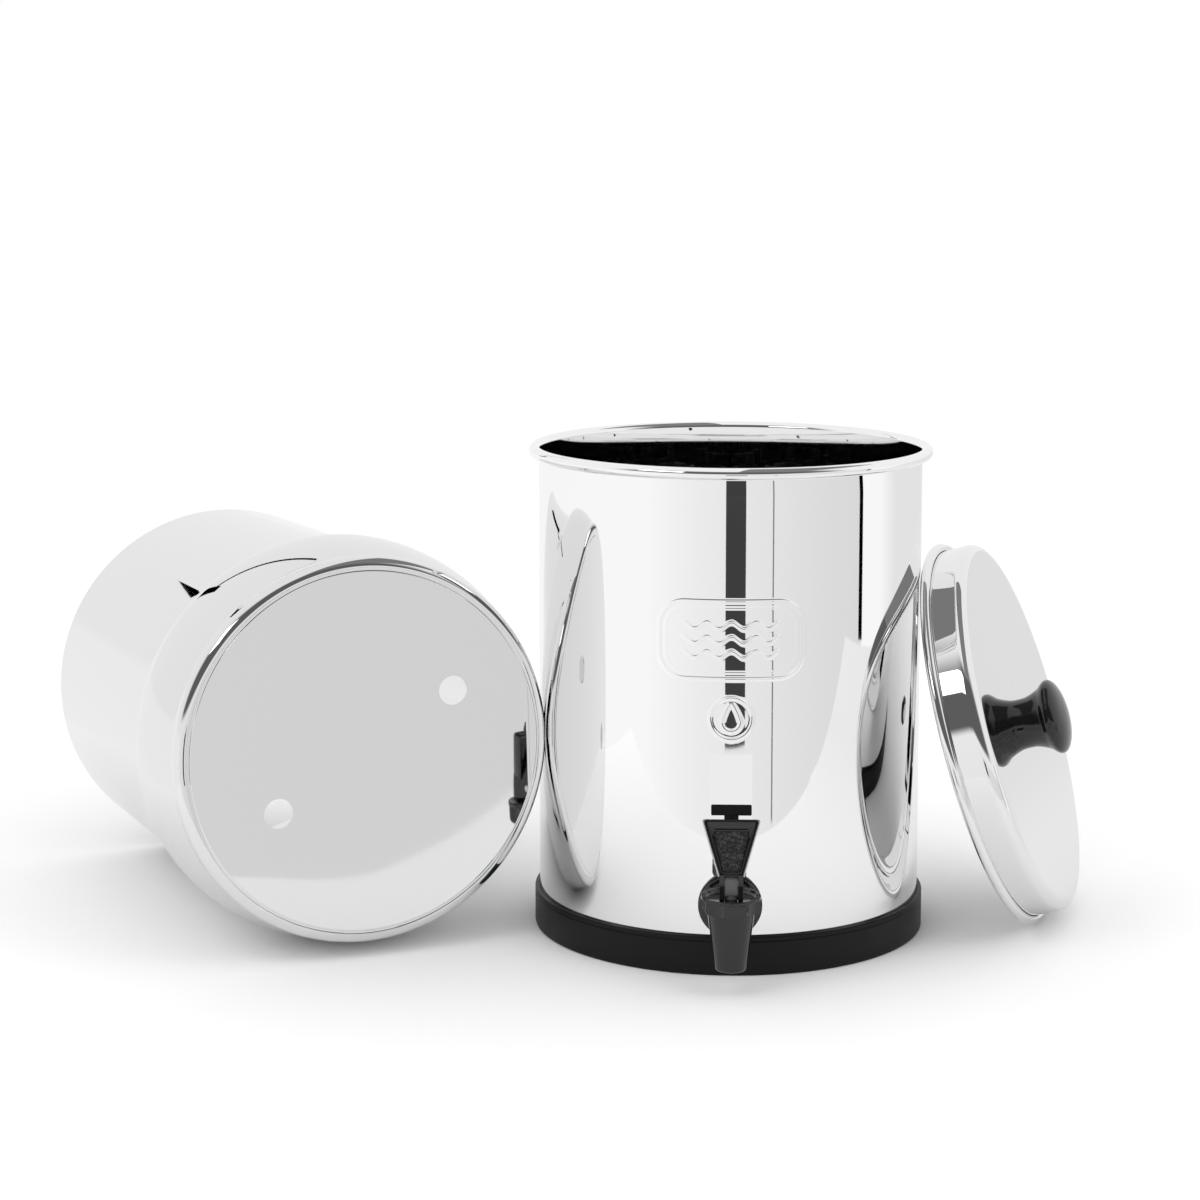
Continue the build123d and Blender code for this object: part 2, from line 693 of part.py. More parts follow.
# Two filter elements, each standing on its round end with its stem up
for tag, x in (("a", -filter_x), ("b", filter_x)):
    stand = lower_floor + filter_gap
    cap_low = stand + cartridge_len - cap_lap
    cap_top = cap_low + cap_h
    seal_low = cap_top + cap_fit / 2
    nut_low = seal_low + seal_t + cap_fit / 2

    with BuildPart() as cartridge:
        with BuildSketch(Plane.XY.offset(stand)):
            with Locations((x, filter_y)):
                Circle(cartridge_r)
        extrude(amount=cartridge_len)
        fillet(faces().sort_by(Axis.Z)[0].edges(), cartridge_round)

    with BuildPart() as base_cap:
        with BuildSketch(Plane.XY.offset(cap_low)):
            with Locations((x, filter_y)):
                Circle(cap_r)
        extrude(amount=cap_h)
        fillet(faces().sort_by(Axis.Z)[-1].edges(), cap_round)
        with BuildSketch(Plane.XY.offset(cap_low)):
            with Locations((x, filter_y)):
                Circle(cartridge_r + cap_fit)
        extrude(amount=cap_lap + cap_fit, mode=Mode.SUBTRACT)
        with BuildSketch(Plane.XY.offset(cap_top)):
            with Locations((x, filter_y)):
                Circle(filter_stem_r + thread_fit)
        extrude(amount=-cap_h, mode=Mode.SUBTRACT)

    with BuildPart() as filter_stem:
        with BuildSketch(Plane.XY.offset(cap_low + cap_lap + 2 * cap_fit)):
            with Locations((x, filter_y)):
                Circle(filter_stem_r)
                Circle(filter_stem_bore, mode=Mode.SUBTRACT)
        extrude(amount=filter_stem_len + cap_h - cap_lap)
        chamfer(faces().sort_by(Axis.Z)[-1].edges().sort_by(SortBy.RADIUS)[-1], 1.0)

    with BuildPart() as filter_seal:
        with BuildSketch(Plane.XY.offset(seal_low)):
            with Locations((x, filter_y)):
                Circle(filter_stem_r + seal_out)
                Circle(filter_stem_r + thread_fit, mode=Mode.SUBTRACT)
        extrude(amount=seal_t)

    with BuildPart() as wing_nut:
        with BuildSketch(Plane.XY.offset(nut_low)):
            with Locations((x, filter_y)):
                Circle(filter_stem_r + wing_hub_wall)
        extrude(amount=wing_hub_h)
        with BuildSketch(Plane.XZ.offset(-filter_y)):
            with Locations((x, nut_low + wing_hub_h - wing_h / 4)):
                RectangleRounded(wing_span, wing_h, wing_round)
        extrude(amount=wing_t / 2, both=True)
        with BuildSketch(Plane.XY.offset(nut_low)):
            with Locations((x, filter_y)):
                Circle(filter_stem_r + thread_fit)
        extrude(amount=wing_hub_h + wing_h, mode=Mode.SUBTRACT)

    pieces["filter_" + tag + "_cartridge"] = cartridge
    pieces["filter_" + tag + "_base_cap"] = base_cap
    pieces["filter_" + tag + "_stem"] = filter_stem
    pieces["filter_" + tag + "_seal"] = filter_seal
    pieces["filter_" + tag + "_wing_nut"] = wing_nut

for node, made in pieces.items():
    made.part.label = node
    export_step(made.part, "parts/" + node + ".step")
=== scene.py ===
import json
from math import cos, degrees, pi, radians, sin, sqrt
import bmesh
import bpy
import numpy as np
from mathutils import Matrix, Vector
from mathutils.geometry import delaunay_2d_cdt


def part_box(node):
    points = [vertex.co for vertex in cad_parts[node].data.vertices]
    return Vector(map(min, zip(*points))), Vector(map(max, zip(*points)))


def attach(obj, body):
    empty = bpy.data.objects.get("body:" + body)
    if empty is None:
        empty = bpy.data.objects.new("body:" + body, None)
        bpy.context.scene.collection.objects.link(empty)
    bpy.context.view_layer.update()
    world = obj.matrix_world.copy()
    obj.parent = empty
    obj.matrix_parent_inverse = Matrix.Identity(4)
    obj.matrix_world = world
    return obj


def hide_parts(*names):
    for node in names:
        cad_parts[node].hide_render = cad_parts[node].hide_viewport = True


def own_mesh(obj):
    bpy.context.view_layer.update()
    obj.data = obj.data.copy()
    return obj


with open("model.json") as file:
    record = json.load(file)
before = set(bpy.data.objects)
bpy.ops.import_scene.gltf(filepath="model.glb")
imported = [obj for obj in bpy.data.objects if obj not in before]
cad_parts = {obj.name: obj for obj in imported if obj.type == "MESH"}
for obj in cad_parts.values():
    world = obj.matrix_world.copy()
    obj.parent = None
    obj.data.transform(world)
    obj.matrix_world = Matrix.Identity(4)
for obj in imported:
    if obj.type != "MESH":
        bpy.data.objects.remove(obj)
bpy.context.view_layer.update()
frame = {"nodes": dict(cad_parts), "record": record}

mm = 0.001
mergeWithin = 2e-6  # metres
record = frame["record"]
scene = bpy.context.scene
print("frame loaded:", len(frame["nodes"]), "nodes")


def placeOf(centre, axis=(0, 0, 1), across=(1, 0, 0)):
    # Where a turned piece stands: its centre, its axis and the direction its angles start from.
    place = {"centre": centre, "axis": axis, "across": across}
    return {name: np.array(value, float) for name, value in place.items()}


def nodePoints(node):
    # A CAD node's vertices, in metres.
    mesh = frame["nodes"][node].data
    spots = np.empty(len(mesh.vertices) * 3, np.float32)
    mesh.vertices.foreach_get("co", spots)
    return spots.reshape(-1, 3).astype(float)


def level(axis):
    # The horizontal direction across an axis.
    sideways = np.cross((0, 0, 1.0), axis)
    return sideways / np.linalg.norm(sideways)


def upperPlace(holes):
    # Bottom face's centre and inward axis, from the two filter holes' mounts.
    inward = np.array(holes[0]["axis"], float)
    inward /= np.linalg.norm(inward)
    middle = sum(np.array(m["pos_m"], float) for m in holes) / len(holes)
    depth = holes[0]["dims"]["length_mm"] / 2 * mm
    return placeOf(middle - inward * depth, inward, -level(inward))


def lidPlace():
    # Flat top's centre and outward axis, from the washer under the knob's screw. A thin round node's
    # axis is the direction in which its vertices spread least.
    spots = np.unique(nodePoints("lid_knob_washer").round(7), axis=0)
    axis = np.linalg.svd(spots - spots.mean(axis=0))[2][2]
    axis = axis * np.sign(axis[0])
    return placeOf((spots.min(axis=0) + spots.max(axis=0)) / 2, axis, level(axis))


def meshObject(name, *parts, sharp=40):
    # A mesh from one or more surfaces, each a pair of points and faces, with doubles merged and
    # normals outwards.
    points, faces, shift = [], [], 0
    for somePoints, someFaces in parts:
        points += np.asarray(somePoints, float).tolist()
        faces += (np.asarray(someFaces) + shift).tolist()
        shift = len(points)
    mesh = bpy.data.meshes.new(name)
    mesh.from_pydata(points, [], faces)
    work = bmesh.new()
    work.from_mesh(mesh)
    bmesh.ops.remove_doubles(work, verts=work.verts, dist=mergeWithin)
    bmesh.ops.recalc_face_normals(work, faces=work.faces)
    work.to_mesh(mesh)
    work.free()
    mesh.shade_smooth()
    mesh.set_sharp_from_angle(angle=radians(sharp))
    piece = bpy.data.objects.new(name, mesh)
    scene.collection.objects.link(piece)
    return piece


def gridFaces(rows, columns, closeRows=False, closeColumns=True):
    # Quads of a grid of rows by columns, wrapped where it closes.
    i = np.arange(rows if closeRows else rows - 1)
    j = np.arange(columns if closeColumns else columns - 1)
    i, j = np.meshgrid(i, j, indexing="ij")
    a, b = i * columns + j, i * columns + (j + 1) % columns
    c, d = (i + 1) % rows * columns + (j + 1) % columns, (i + 1) % rows * columns + j
    return np.stack([a, b, c, d], axis=-1).reshape(-1, 4)


def arc(centre, radius, start, end, count):
    # Points on a round stretch of a profile, between two angles in degrees.
    turn = np.radians(np.linspace(start, end, count))
    return np.stack([centre[0] + radius * np.cos(turn), centre[1] + radius * np.sin(turn)], axis=1)


def circle(x, y, radius, count):
    # Points evenly round a circle.
    turn = np.linspace(0, 2 * pi, count, endpoint=False)
    return np.stack([x + radius * np.cos(turn), y + radius * np.sin(turn)], axis=1)


def legs(start, *stops):
    # Straight stretches of a profile, end to end. Each stop is a radius, a height and how many
    # points lead to it, which is two where it isn't said.
    points = []
    for x, y, *count in stops:
        points.append(np.linspace(start, (x, y), *count or [2]))
        start = (x, y)
    return np.concatenate(points)


def hermite(start, end, leave, arrive, count):
    # Cubic curve from start to end with these tangents at its ends.
    t = np.linspace(0, 1, count)[:, None]
    return ((2 * t**3 - 3 * t**2 + 1) * start + (t**3 - 2 * t**2 + t) * leave
            + (-2 * t**3 + 3 * t**2) * end + (t**3 - t**2) * arrive)


def swept(start, end, leave, arrive, count):
    # Cubic curve that leaves and arrives in two directions, with tangents as long as its chord.
    start, end = np.array(start, float), np.array(end, float)
    chord = np.linalg.norm(end - start)
    leave, arrive = (np.array(way, float) / np.linalg.norm(way) * chord for way in (leave, arrive))
    return hermite(start, end, leave, arrive, count)


def throughPoints(corners, leave, arrive, count):
    # Smooth curve through points: cubic pieces whose tangents follow their neighbours.
    tangents = np.zeros_like(corners)
    tangents[1:-1] = (corners[2:] - corners[:-2]) / 2
    tangents[0] = np.array(leave, float) * np.linalg.norm(corners[1] - corners[0])
    tangents[-1] = np.array(arrive, float) * np.linalg.norm(corners[-1] - corners[-2])
    each = count // (len(corners) - 1)
    return np.concatenate([hermite(corners[k], corners[k + 1], tangents[k], tangents[k + 1], each)
                           for k in range(len(corners) - 1)])


def profileOf(*stretches):
    # One list of points from several stretches, with repeated points dropped.
    points = np.concatenate([np.asarray(s, float) for s in stretches])
    keep = np.ones(len(points), bool)
    keep[1:] = np.linalg.norm(np.diff(points, axis=0), axis=1) > 1e-6
    return points[keep]


def turned(profile, place, segments=256, angles=None, closed=False, relief=None):
    # Profile (radius, height) in mm swung round an axis: point = centre + axis * height
    # + (across * cos + along * sin) * radius. relief adds to the radius, for each angle and height.
    if angles is None:
        angles = np.linspace(0, 2 * pi, segments, endpoint=False)
    axis, across = place["axis"], place["across"]
    along = np.cross(axis, across)
    radius = np.repeat(profile[:, :1], len(angles), axis=1)
    height = np.repeat(profile[:, 1:], len(angles), axis=1)
    if relief is not None:
        radius = radius + relief(np.repeat(angles[None, :], len(profile), axis=0), radius, height)
    ring = np.cos(angles)[None, :, None] * across + np.sin(angles)[None, :, None] * along
    points = place["centre"] + mm * (radius[..., None] * ring + height[..., None] * axis)
    return points.reshape(-1, 3), gridFaces(len(profile), len(angles), closeRows=closed)


def slab(outline, at, near, far, holes=(), holePoints=24, edge=True):
    # Closed outline with round holes, carried straight between two depths: a flat cap at each end, a
    # wall round each hole, and one round the outline where edge says so. at is an origin and the
    # directions across, up and ahead. A triangle with all corners on a hole's edge is in the hole.
    origin, across, upward, ahead = at
    rings = [outline] + [circle(*hole, holePoints) for hole in holes]
    edges, start = [], 0
    for ring in rings:
        edges += [(start + k, start + (k + 1) % len(ring)) for k in range(len(ring))]
        start += len(ring)
    made = delaunay_2d_cdt([Vector(p) for p in np.concatenate(rings)], edges, [], 1, 1e-5)
    spots, triangles = np.array([tuple(p) for p in made[0]]), np.array(made[2])
    for x, y, radius in holes:
        beyond = np.hypot(spots[:, 0] - x, spots[:, 1] - y) > radius * 1.0001
        triangles = triangles[beyond[triangles].any(axis=1)]

    def spread(flat, depth):
        return origin + mm * (flat[:, :1] * across + flat[:, 1:] * upward + depth * ahead)

    parts = [(spread(spots, depth), triangles) for depth in (near, far)]
    for ring in rings[0 if edge else 1:]:
        parts.append((np.concatenate([spread(ring, near), spread(ring, far)]), gridFaces(2, len(ring))))
    return parts


def put(piece, body, slot, material, *nodes):
    # Gives a piece its material, the body it rides on and the nodes it stands for. slot is not used.
    piece.data.materials.clear()
    piece.data.materials.append(finish[material])
    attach(piece, body)
    if nodes:
        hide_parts(*nodes)
    return piece


def fill(node, values):
    # Sets a shader node's sockets, each to a value or to a link from another node's output.
    for socket, value in values.items():
        if isinstance(value, bpy.types.NodeSocket):
            node.id_data.links.new(value, node.inputs[socket])
        else:
            node.inputs[socket].default_value = value
    return node


def addNode(tree, kind, values=None, **settings):
    # New shader node with its settings, then its sockets.
    node = tree.nodes.new("ShaderNode" + kind)
    for label, setting in settings.items():
        setattr(node, label, setting)
    return fill(node, values or {})


def maths(operation, *values, kind="Math", output=0):
    # Result of a maths node. The first value is another node's output.
    return addNode(values[0].id_data, kind, dict(enumerate(values)), operation=operation).outputs[output]


def between(source, low, high, first=0, last=1, ease="LINEAR"):
    # A value moved from first..last to low..high.
    ends = {"From Min": first, "From Max": last, "To Min": low, "To Max": high}
    node = addNode(source.id_data, "MapRange", {"Value": source, **ends}, interpolation_type=ease)
    return node.outputs["Result"]


def bumpFrom(source, distance):
    # Bump of a height in metres.
    return addNode(source.id_data, "Bump", {"Height": source, "Distance": distance}).outputs["Normal"]


def newGroup(name, inputs, outputs):
    # Shader node group with numbers and vectors as its inputs and numbers as its outputs.
    tree = bpy.data.node_groups.new(name, "ShaderNodeTree")
    for label, value in inputs.items():
        kind = "NodeSocketFloat" if isinstance(value, float) else "NodeSocketVector"
        tree.interface.new_socket(name=label, in_out="INPUT", socket_type=kind).default_value = value
    for label in outputs:
        tree.interface.new_socket(name=label, in_out="OUTPUT", socket_type="NodeSocketFloat")
    return tree, tree.nodes.new("NodeGroupInput").outputs, tree.nodes.new("NodeGroupOutput")


def streakGroup():
    # Fine polishing streaks: noise stretched along one axis, and a broad haze.
    tree, given, out = newGroup(
        "polishStreaks", {"Fine": 900.0, "Stretch": (1.0, 1.0, 0.04)}, ("Mask", "Haze"))
    place = addNode(tree, "TexCoord").outputs["Object"]
    stretched = maths("MULTIPLY", place, given["Stretch"], kind="VectorMath")
    streak = addNode(tree, "TexNoise", {"Vector": stretched, "Scale": given["Fine"], "Detail": 3})
    haze = addNode(tree, "TexNoise", {"Vector": place, "Scale": 14, "Detail": 2})
    fill(out, {"Mask": streak.outputs["Fac"], "Haze": haze.outputs["Fac"]})
    return tree


def speckGroup():
    # Moulded grain: fine noise for the bump and coarse noise for patches of roughness.
    tree, given, out = newGroup("mouldGrain", {"Fine": 2500.0, "Coarse": 60.0}, ("Grain", "Patches"))
    place = addNode(tree, "TexCoord").outputs["Object"]
    for scale, result in (("Fine", "Grain"), ("Coarse", "Patches")):
        noise = addNode(tree, "TexNoise", {"Vector": place, "Scale": given[scale], "Detail": 4})
        fill(out, {result: noise.outputs["Fac"]})
    return tree


def dishGroup():
    # Height of a face that rises towards its lower edge: strength * (distance below the centre, held
    # between two values, less the smaller one) squared * (1 - ease * distance past the verge squared).
    # The distances are spot . down and spot . side, in metres.
    nowhere = (0.0, 0.0, 0.0)
    tree, given, out = newGroup("dishedFace", {
        "Centre": nowhere, "Down": nowhere, "Side": nowhere, "Start": 0.024, "End": 0.083,
        "Strength": 0.7, "Verge": -0.012, "Ease": 60.0}, ("Height",))
    place = addNode(tree, "TexCoord").outputs["Object"]
    spot = maths("SUBTRACT", place, given["Centre"], kind="VectorMath")
    below, aside = (maths("DOT_PRODUCT", spot, given[way], kind="VectorMath", output="Value")
                    for way in ("Down", "Side"))
    held = maths("MAXIMUM", maths("MINIMUM", below, given["End"]), given["Start"])
    past = maths("SUBTRACT", held, given["Start"])
    whole = maths("MULTIPLY", maths("MULTIPLY", past, past), given["Strength"])
    beyond = maths("SUBTRACT", maths("MAXIMUM", aside, given["Verge"]), given["Verge"])
    eased = maths("MULTIPLY", maths("MULTIPLY", beyond, beyond), given["Ease"])
    fill(out, {"Height": maths("SUBTRACT", whole, maths("MULTIPLY", whole, eased))})
    return tree


streaks, specks, dishes = streakGroup(), speckGroup(), dishGroup()
steelLook = {"smooth": 0.012, "dull": 0.04, "wave": 0.00002, "blue": 1.004}
# One polished steel in three copies: the round lid pan and the upper chamber's shell get darker base colours
# than the upright chamber, which is painted shade on them.
steels = {
    "steelUpright": {"brightness": 0.93, "stretch": (1.0, 1.0, 0.03)},
    "steelRoundShaded": {"brightness": 0.86},
    "steelFacedShaded": {"brightness": 0.80},
}
mouldings = {
    "blackGloss": {"colour": (0.006, 0.006, 0.0065), "rough": (0.04, 0.09), "grain": 2e-6, "gloss": 0.6},
    # blackPebbled's lighter colour on its grain's tips is a painted highlight.
    "blackPebbled": {"colour": (0.012, 0.012, 0.0125), "rough": (0.25, 0.38), "grain": 4e-6,
                     "gloss": 0.55, "fine": 1000.0, "tipHighlight": (0.05, 0.05, 0.052)},
    "baseRubber": {"colour": (0.0055, 0.0055, 0.006), "rough": (0.36, 0.5), "grain": 4e-6,
                   "gloss": 0.2, "fine": 1600.0, "coarse": 35.0},
    "sealRubber": {"colour": (0.01, 0.01, 0.01), "rough": (0.35, 0.5), "gloss": 0.25},
    "greyStem": {"colour": (0.3, 0.3, 0.305), "rough": (0.28, 0.4)},
    "softSilicone": {"colour": (0.7, 0.7, 0.68), "rough": (0.35, 0.5)},
    "carbonBlock": {"colour": (0.004, 0.004, 0.004), "rough": (0.7, 0.85), "grain": 8e-5,
                    "gloss": 0.1, "fine": 900.0},
    "filterPlastic": {"colour": (0.003, 0.003, 0.0032), "rough": (0.5, 0.65), "gloss": 0.04},
}
wireLook = {"colour": (0.62, 0.62, 0.63), "rough": (0.18, 0.32)}
# The grain's lighter tip colour below is a painted highlight, not wear.
highlightFrom = (0.5, 0.62)  # grain's height where the worn colour starts, and where it is full


def blank(name):
    # New material, its node tree and its shader.
    material = bpy.data.materials.new(name)
    material.use_nodes = True
    return material, material.node_tree, material.node_tree.nodes["Principled BSDF"]


def polishedSteel(name, brightness, stretch=(1.0, 1.0, 1.0)):
    # Mirror-polished sheet: nearly smooth, slightly wavy, with faint streaks along the polishing.
    material, tree, shader = blank(name)
    marks = addNode(tree, "Group", {"Stretch": stretch}, node_tree=streaks).outputs
    fill(shader, {
        "Metallic": 1.0, "Base Color": (brightness, brightness, brightness * steelLook["blue"], 1),
        "Roughness": between(marks["Mask"], steelLook["smooth"], steelLook["dull"]),
        "Normal": bumpFrom(marks["Haze"], steelLook["wave"])})
    return material


def dished(material, place, start, end, strength):
    # Adds the shading of an end face that bends slightly outwards below its centre.
    down = np.cross(place["axis"], place["across"])
    dish = addNode(material.node_tree, "Group", {
        "Centre": place["centre"], "Down": -down * np.sign(down[2]), "Side": -place["across"],
        "Start": start * mm, "End": end * mm, "Strength": strength}, node_tree=dishes)
    wavy = material.node_tree.nodes["Principled BSDF"].inputs["Normal"].links[0].from_node
    fill(wavy, {"Normal": bumpFrom(dish.outputs["Height"], 1.0)})


def moulded(name, colour, rough, grain=3e-6, gloss=0.5, fine=2500.0, coarse=60.0, tipHighlight=None):
    # Moulded plastic or rubber: roughness between two values, and a grain of that height, whose highest
    # tips may be given a lighter colour, a painted highlight on the grain.
    material, tree, shader = blank(name)
    marks = addNode(tree, "Group", {"Fine": fine, "Coarse": coarse}, node_tree=specks).outputs
    fill(shader, {
        "Base Color": (*colour, 1), "Specular IOR Level": gloss,
        "Roughness": between(marks["Patches"], *rough), "Normal": bumpFrom(marks["Grain"], grain)})
    # Painted highlight: the grain's highest tips get the lighter colour.
    if tipHighlight:
        highlighted = between(marks["Grain"], 0, 1, *highlightFrom)
        mix = addNode(tree, "Mix", {"A": (*colour, 1), "B": (*tipHighlight, 1), "Factor": highlighted}, data_type="RGBA")
        fill(shader, {"Base Color": mix.outputs["Result"]})
    return material


def brightSteel(name, colour, rough):
    # Plain bright metal for wire, pins and screws.
    material, tree, shader = blank(name)
    grain = addNode(tree, "Group", node_tree=specks).outputs["Grain"]
    fill(shader, {"Metallic": 1.0, "Base Color": (*colour, 1), "Roughness": between(grain, *rough)})
    return material


finish = {name: polishedSteel(name, **look) for name, look in steels.items()}
finish.update({name: moulded(name, **look) for name, look in mouldings.items()})
finish["springSteel"] = brightSteel("springSteel", **wireLook)
print("materials made")


upright = placeOf((0, 0, 0))
sheet = {"wall": 0.7, "curlEnd": -125}
lower = {"radius": 90.3, "height": 230.4, "low": 2.55, "corner": 6.0, "tube": 2.8, "farSide": 130}
emblem = {
    "azimuth": -90.0, "z": 140.0, "reach": 36.0, "half": 37.0, "step": 0.38, "height": 0.21, "soft": 0.7,
    "frameZ": 153.0, "frameWide": 66.0, "frameTall": 35.0, "frameRound": 12.0, "line": 0.8, "inset": 3.0,
    "insetHeight": 0.6, "waves": (-6.5, 0.0, 6.5), "waveHalf": 22.0, "waveRise": 1.5, "wavePitch": 11.0,
    "waveEnd": 2.0, "ringZ": 117.5, "ring": 9.5, "drop": 4.2, "dropTall": 9.0, "dropLow": 1.6,
}


def curl(mid, height, tube, away, count=18):
    # Sheet rolled outwards into a tube, from the wall's outside round to its inside.
    outer = arc((mid, height), tube - sheet["wall"], 180, sheet["curlEnd"], count)
    inner = arc((mid, height), tube, sheet["curlEnd"], 180, count + 6)
    both = np.concatenate([outer, inner])
    both[:, 1] = height + away * (both[:, 1] - height)
    return both


def smoothStep(value, edge, soft):
    # 0 well below edge, 1 well above it, with a soft change between.
    t = np.clip((value - edge) / soft * 0.5 + 0.5, 0, 1)
    return t * t * (3 - 2 * t)


def raisedLine(distance, share=1.0):
    # 1 on the emblem's line about distance 0, and 0 away from it. share makes it thinner.
    return smoothStep(emblem["line"] * share - np.abs(distance), 0, emblem["soft"])


def dropOutline(u, v, radius, tall):
    # Distance from a water drop: a circle below, and above it sides that run to a point, whose
    # half-width falls from the radius to 0 over the drop's height.
    share = np.clip(v / tall, 0, 1)
    above = (np.abs(u) - radius * (1 - share) ** 0.85 * (1 + 0.25 * share)) * 0.85
    return np.where(v < 0, np.hypot(u, v) - radius, np.where(v < tall, above, radius))


def emblemRelief(turns, radius, height):
    # Rounded frame with three waves in it, and a ring with a drop below, as a height over the wall.
    # The frame is where the distance from a rectangle, less its corner's radius, is 0.
    e, corner = emblem, emblem["frameRound"]
    u = (np.degrees(turns) - e["azimuth"] + 180) % 360 - 180
    u = np.radians(u) * lower["radius"]
    v = height - e["frameZ"]
    besideU = np.abs(u) - e["frameWide"] / 2 + corner
    besideV = np.abs(v) - e["frameTall"] / 2 + corner
    outside = (np.hypot(np.maximum(besideU, 0), np.maximum(besideV, 0))
               + np.minimum(np.maximum(besideU, besideV), 0) - corner)
    marks = [raisedLine(outside), e["insetHeight"] * raisedLine(outside + e["inset"], 0.5)]
    for middle in e["waves"]:
        wave = v - middle - e["waveRise"] * np.cos(u * 2 * pi / e["wavePitch"])
        ends = smoothStep(e["waveHalf"] - np.abs(u), 0, e["waveEnd"])
        marks.append(raisedLine(wave) * ends)
    low = height - e["ringZ"]
    marks.append(raisedLine(np.hypot(u, low) - e["ring"]))
    marks.append(raisedLine(dropOutline(u, low + e["dropLow"], e["drop"], e["dropTall"])))
    onWall = (np.abs(radius - lower["radius"]) < 0.01) & (np.abs(height - e["z"]) < e["reach"])
    return np.where(onWall, np.maximum.reduce(marks) * e["height"], 0.0)


def lowerChamber():
    # Sheet shell with a rolled rim and a raised emblem on its front, where the grid is finer.
    wall, low, rim = sheet["wall"], lower["low"], lower["height"] - lower["tube"]
    r, c = lower["radius"], lower["corner"]
    bandLow, bandHigh = emblem["z"] - emblem["reach"], emblem["z"] + emblem["reach"]
    fine = int((bandHigh - bandLow) / emblem["step"])
    profile = profileOf(
        legs((0, low), (r - c, low, 8)), arc((r - c, low + c), c, -90, 0, 10),
        legs((r, low + c), (r, bandLow, 10), (r, bandHigh, fine), (r, rim, 6)),
        curl(r - wall + lower["tube"], rim, lower["tube"], 1),
        legs((r - wall, rim), (r - wall, low + c, 12)), arc((r - c, low + c), c - wall, 0, -90, 10),
        legs((r - c, low + wall), (0, low + wall, 8), (0, low)))
    half, step = degrees(emblem["half"]) / r, degrees(emblem["step"] / r)
    near = np.radians(np.arange(emblem["azimuth"] - half, emblem["azimuth"] + half, step))
    far = np.linspace(near[-1], near[0] + 2 * pi, lower["farSide"])[1:-1]
    return turned(profile, upright, angles=np.concatenate([near, far]), relief=emblemRelief)


filterHoles = [m for m in record["mounts"] if m["name"].startswith("filter_hole")]
upperAt = upperPlace(filterHoles)
upper = {
    "radius": 88.3, "length": 233.7, "neck": 89.2, "neckLength": 8.0, "corner": 4.5, "shoulder": 94.8,
    "shoulderAt": 45.7, "creaseAt": 73.1, "slope": 0.3, "segments": 320, "holePoints": 72,
    "stepR": 83.6, "stepWidth": 0.9, "stepDepth": 0.25, "dish": (23, 83, 0.7),
}


def upperChamber():
    # Shell with a stepped neck, a flared shoulder and two filter holes. Heights run inwards.
    u, w = upper, sheet["wall"]
    r, n, s, c = u["radius"], u["neck"], u["shoulder"], u["corner"]
    step, wide, slope, end = u["stepR"], u["stepWidth"], u["slope"], u["length"]
    neck, shoulder, crease = u["neckLength"], u["shoulderAt"], u["creaseAt"]
    axis, across = upperAt["axis"], upperAt["across"]
    along = np.cross(axis, across)
    flat = step - 2 * wide
    side = profileOf(
        legs((flat, 0), (step - wide, 0, 3)),
        arc((step, 0), wide, 180, 0, 9) * (1, u["stepDepth"] / wide),
        legs((step + wide, 0), (n - c, 0)), arc((n - c, c), c, -90, 0, 12),
        legs((n, c), (n, neck, 5)), swept((n, neck), (s, shoulder), (slope, 1), (0, 1), 40),
        swept((s, shoulder), (r, crease), (0, 1), (0, 1), 32),
        legs((r, crease), (r, end, 40), (r - w, end), (r - w, crease, 20)),
        swept((r - w, crease), (s - w, shoulder), (0, -1), (0, -1), 20),
        swept((s - w, shoulder), (n - w, neck), (0, -1), (-slope, -1), 24),
        legs((n - w, neck), (n - w, c, 3)), arc((n - c, c), c - w, 0, -90, 8),
        legs((n - c, w), (flat, w, 4)))
    holes = []
    for m in filterHoles:
        spot = (np.array(m["pos_m"]) - upperAt["centre"]) / mm
        holes.append((spot @ across, spot @ along, m["dims"]["r_mm"]))
    return [turned(side, upperAt, u["segments"])] + slab(
        circle(0, 0, flat, u["segments"]), (upperAt["centre"], across, along, axis), 0, w,
        holes, u["holePoints"], edge=False)


shell = meshObject("lowerChamberShell", lowerChamber())
put(shell, "lower", "polished_steel", "steelUpright", "lower_chamber")
dished(finish["steelFacedShaded"], upperAt, *upper["dish"])
shell = meshObject("upperChamberShell", *upperChamber())
put(shell, "upper", "polished_steel", "steelFacedShaded", "upper_chamber")
print("chambers made")


lidAt = lidPlace()
lid = {"radius": 89.4, "height": 18.2, "corner": 5.0, "tube": 2.35, "washer": 1.0, "segments": 320}
knob = {
    "seat": 11.95, "rim": 17.9, "rimAt": 15.0, "height": 21.3, "waist": (12.4, 4.4), "flare": (14.6, 9.8),
    "segments": 192,
}


def lidPan():
    # Pressed pan with a rolled rim. Height 0 is the middle of the roll.
    w, r, h, c = sheet["wall"], lid["radius"], lid["height"], lid["corner"]
    profile = profileOf(
        legs((0, h), (r - c, h, 30)), arc((r - c, h - c), c, 90, 0, 14), legs((r, h - c), (r, 0, 10)),
        curl(r - w + lid["tube"], 0, lid["tube"], -1), legs((r - w, 0), (r - w, h - c, 10)),
        arc((r - c, h - c), c - w, 0, 90, 10), legs((r - c, h - w), (0, h - w, 10), (0, h)))
    profile[:, 1] -= h - w - lid["washer"] / 2
    return turned(profile, lidAt, lid["segments"])


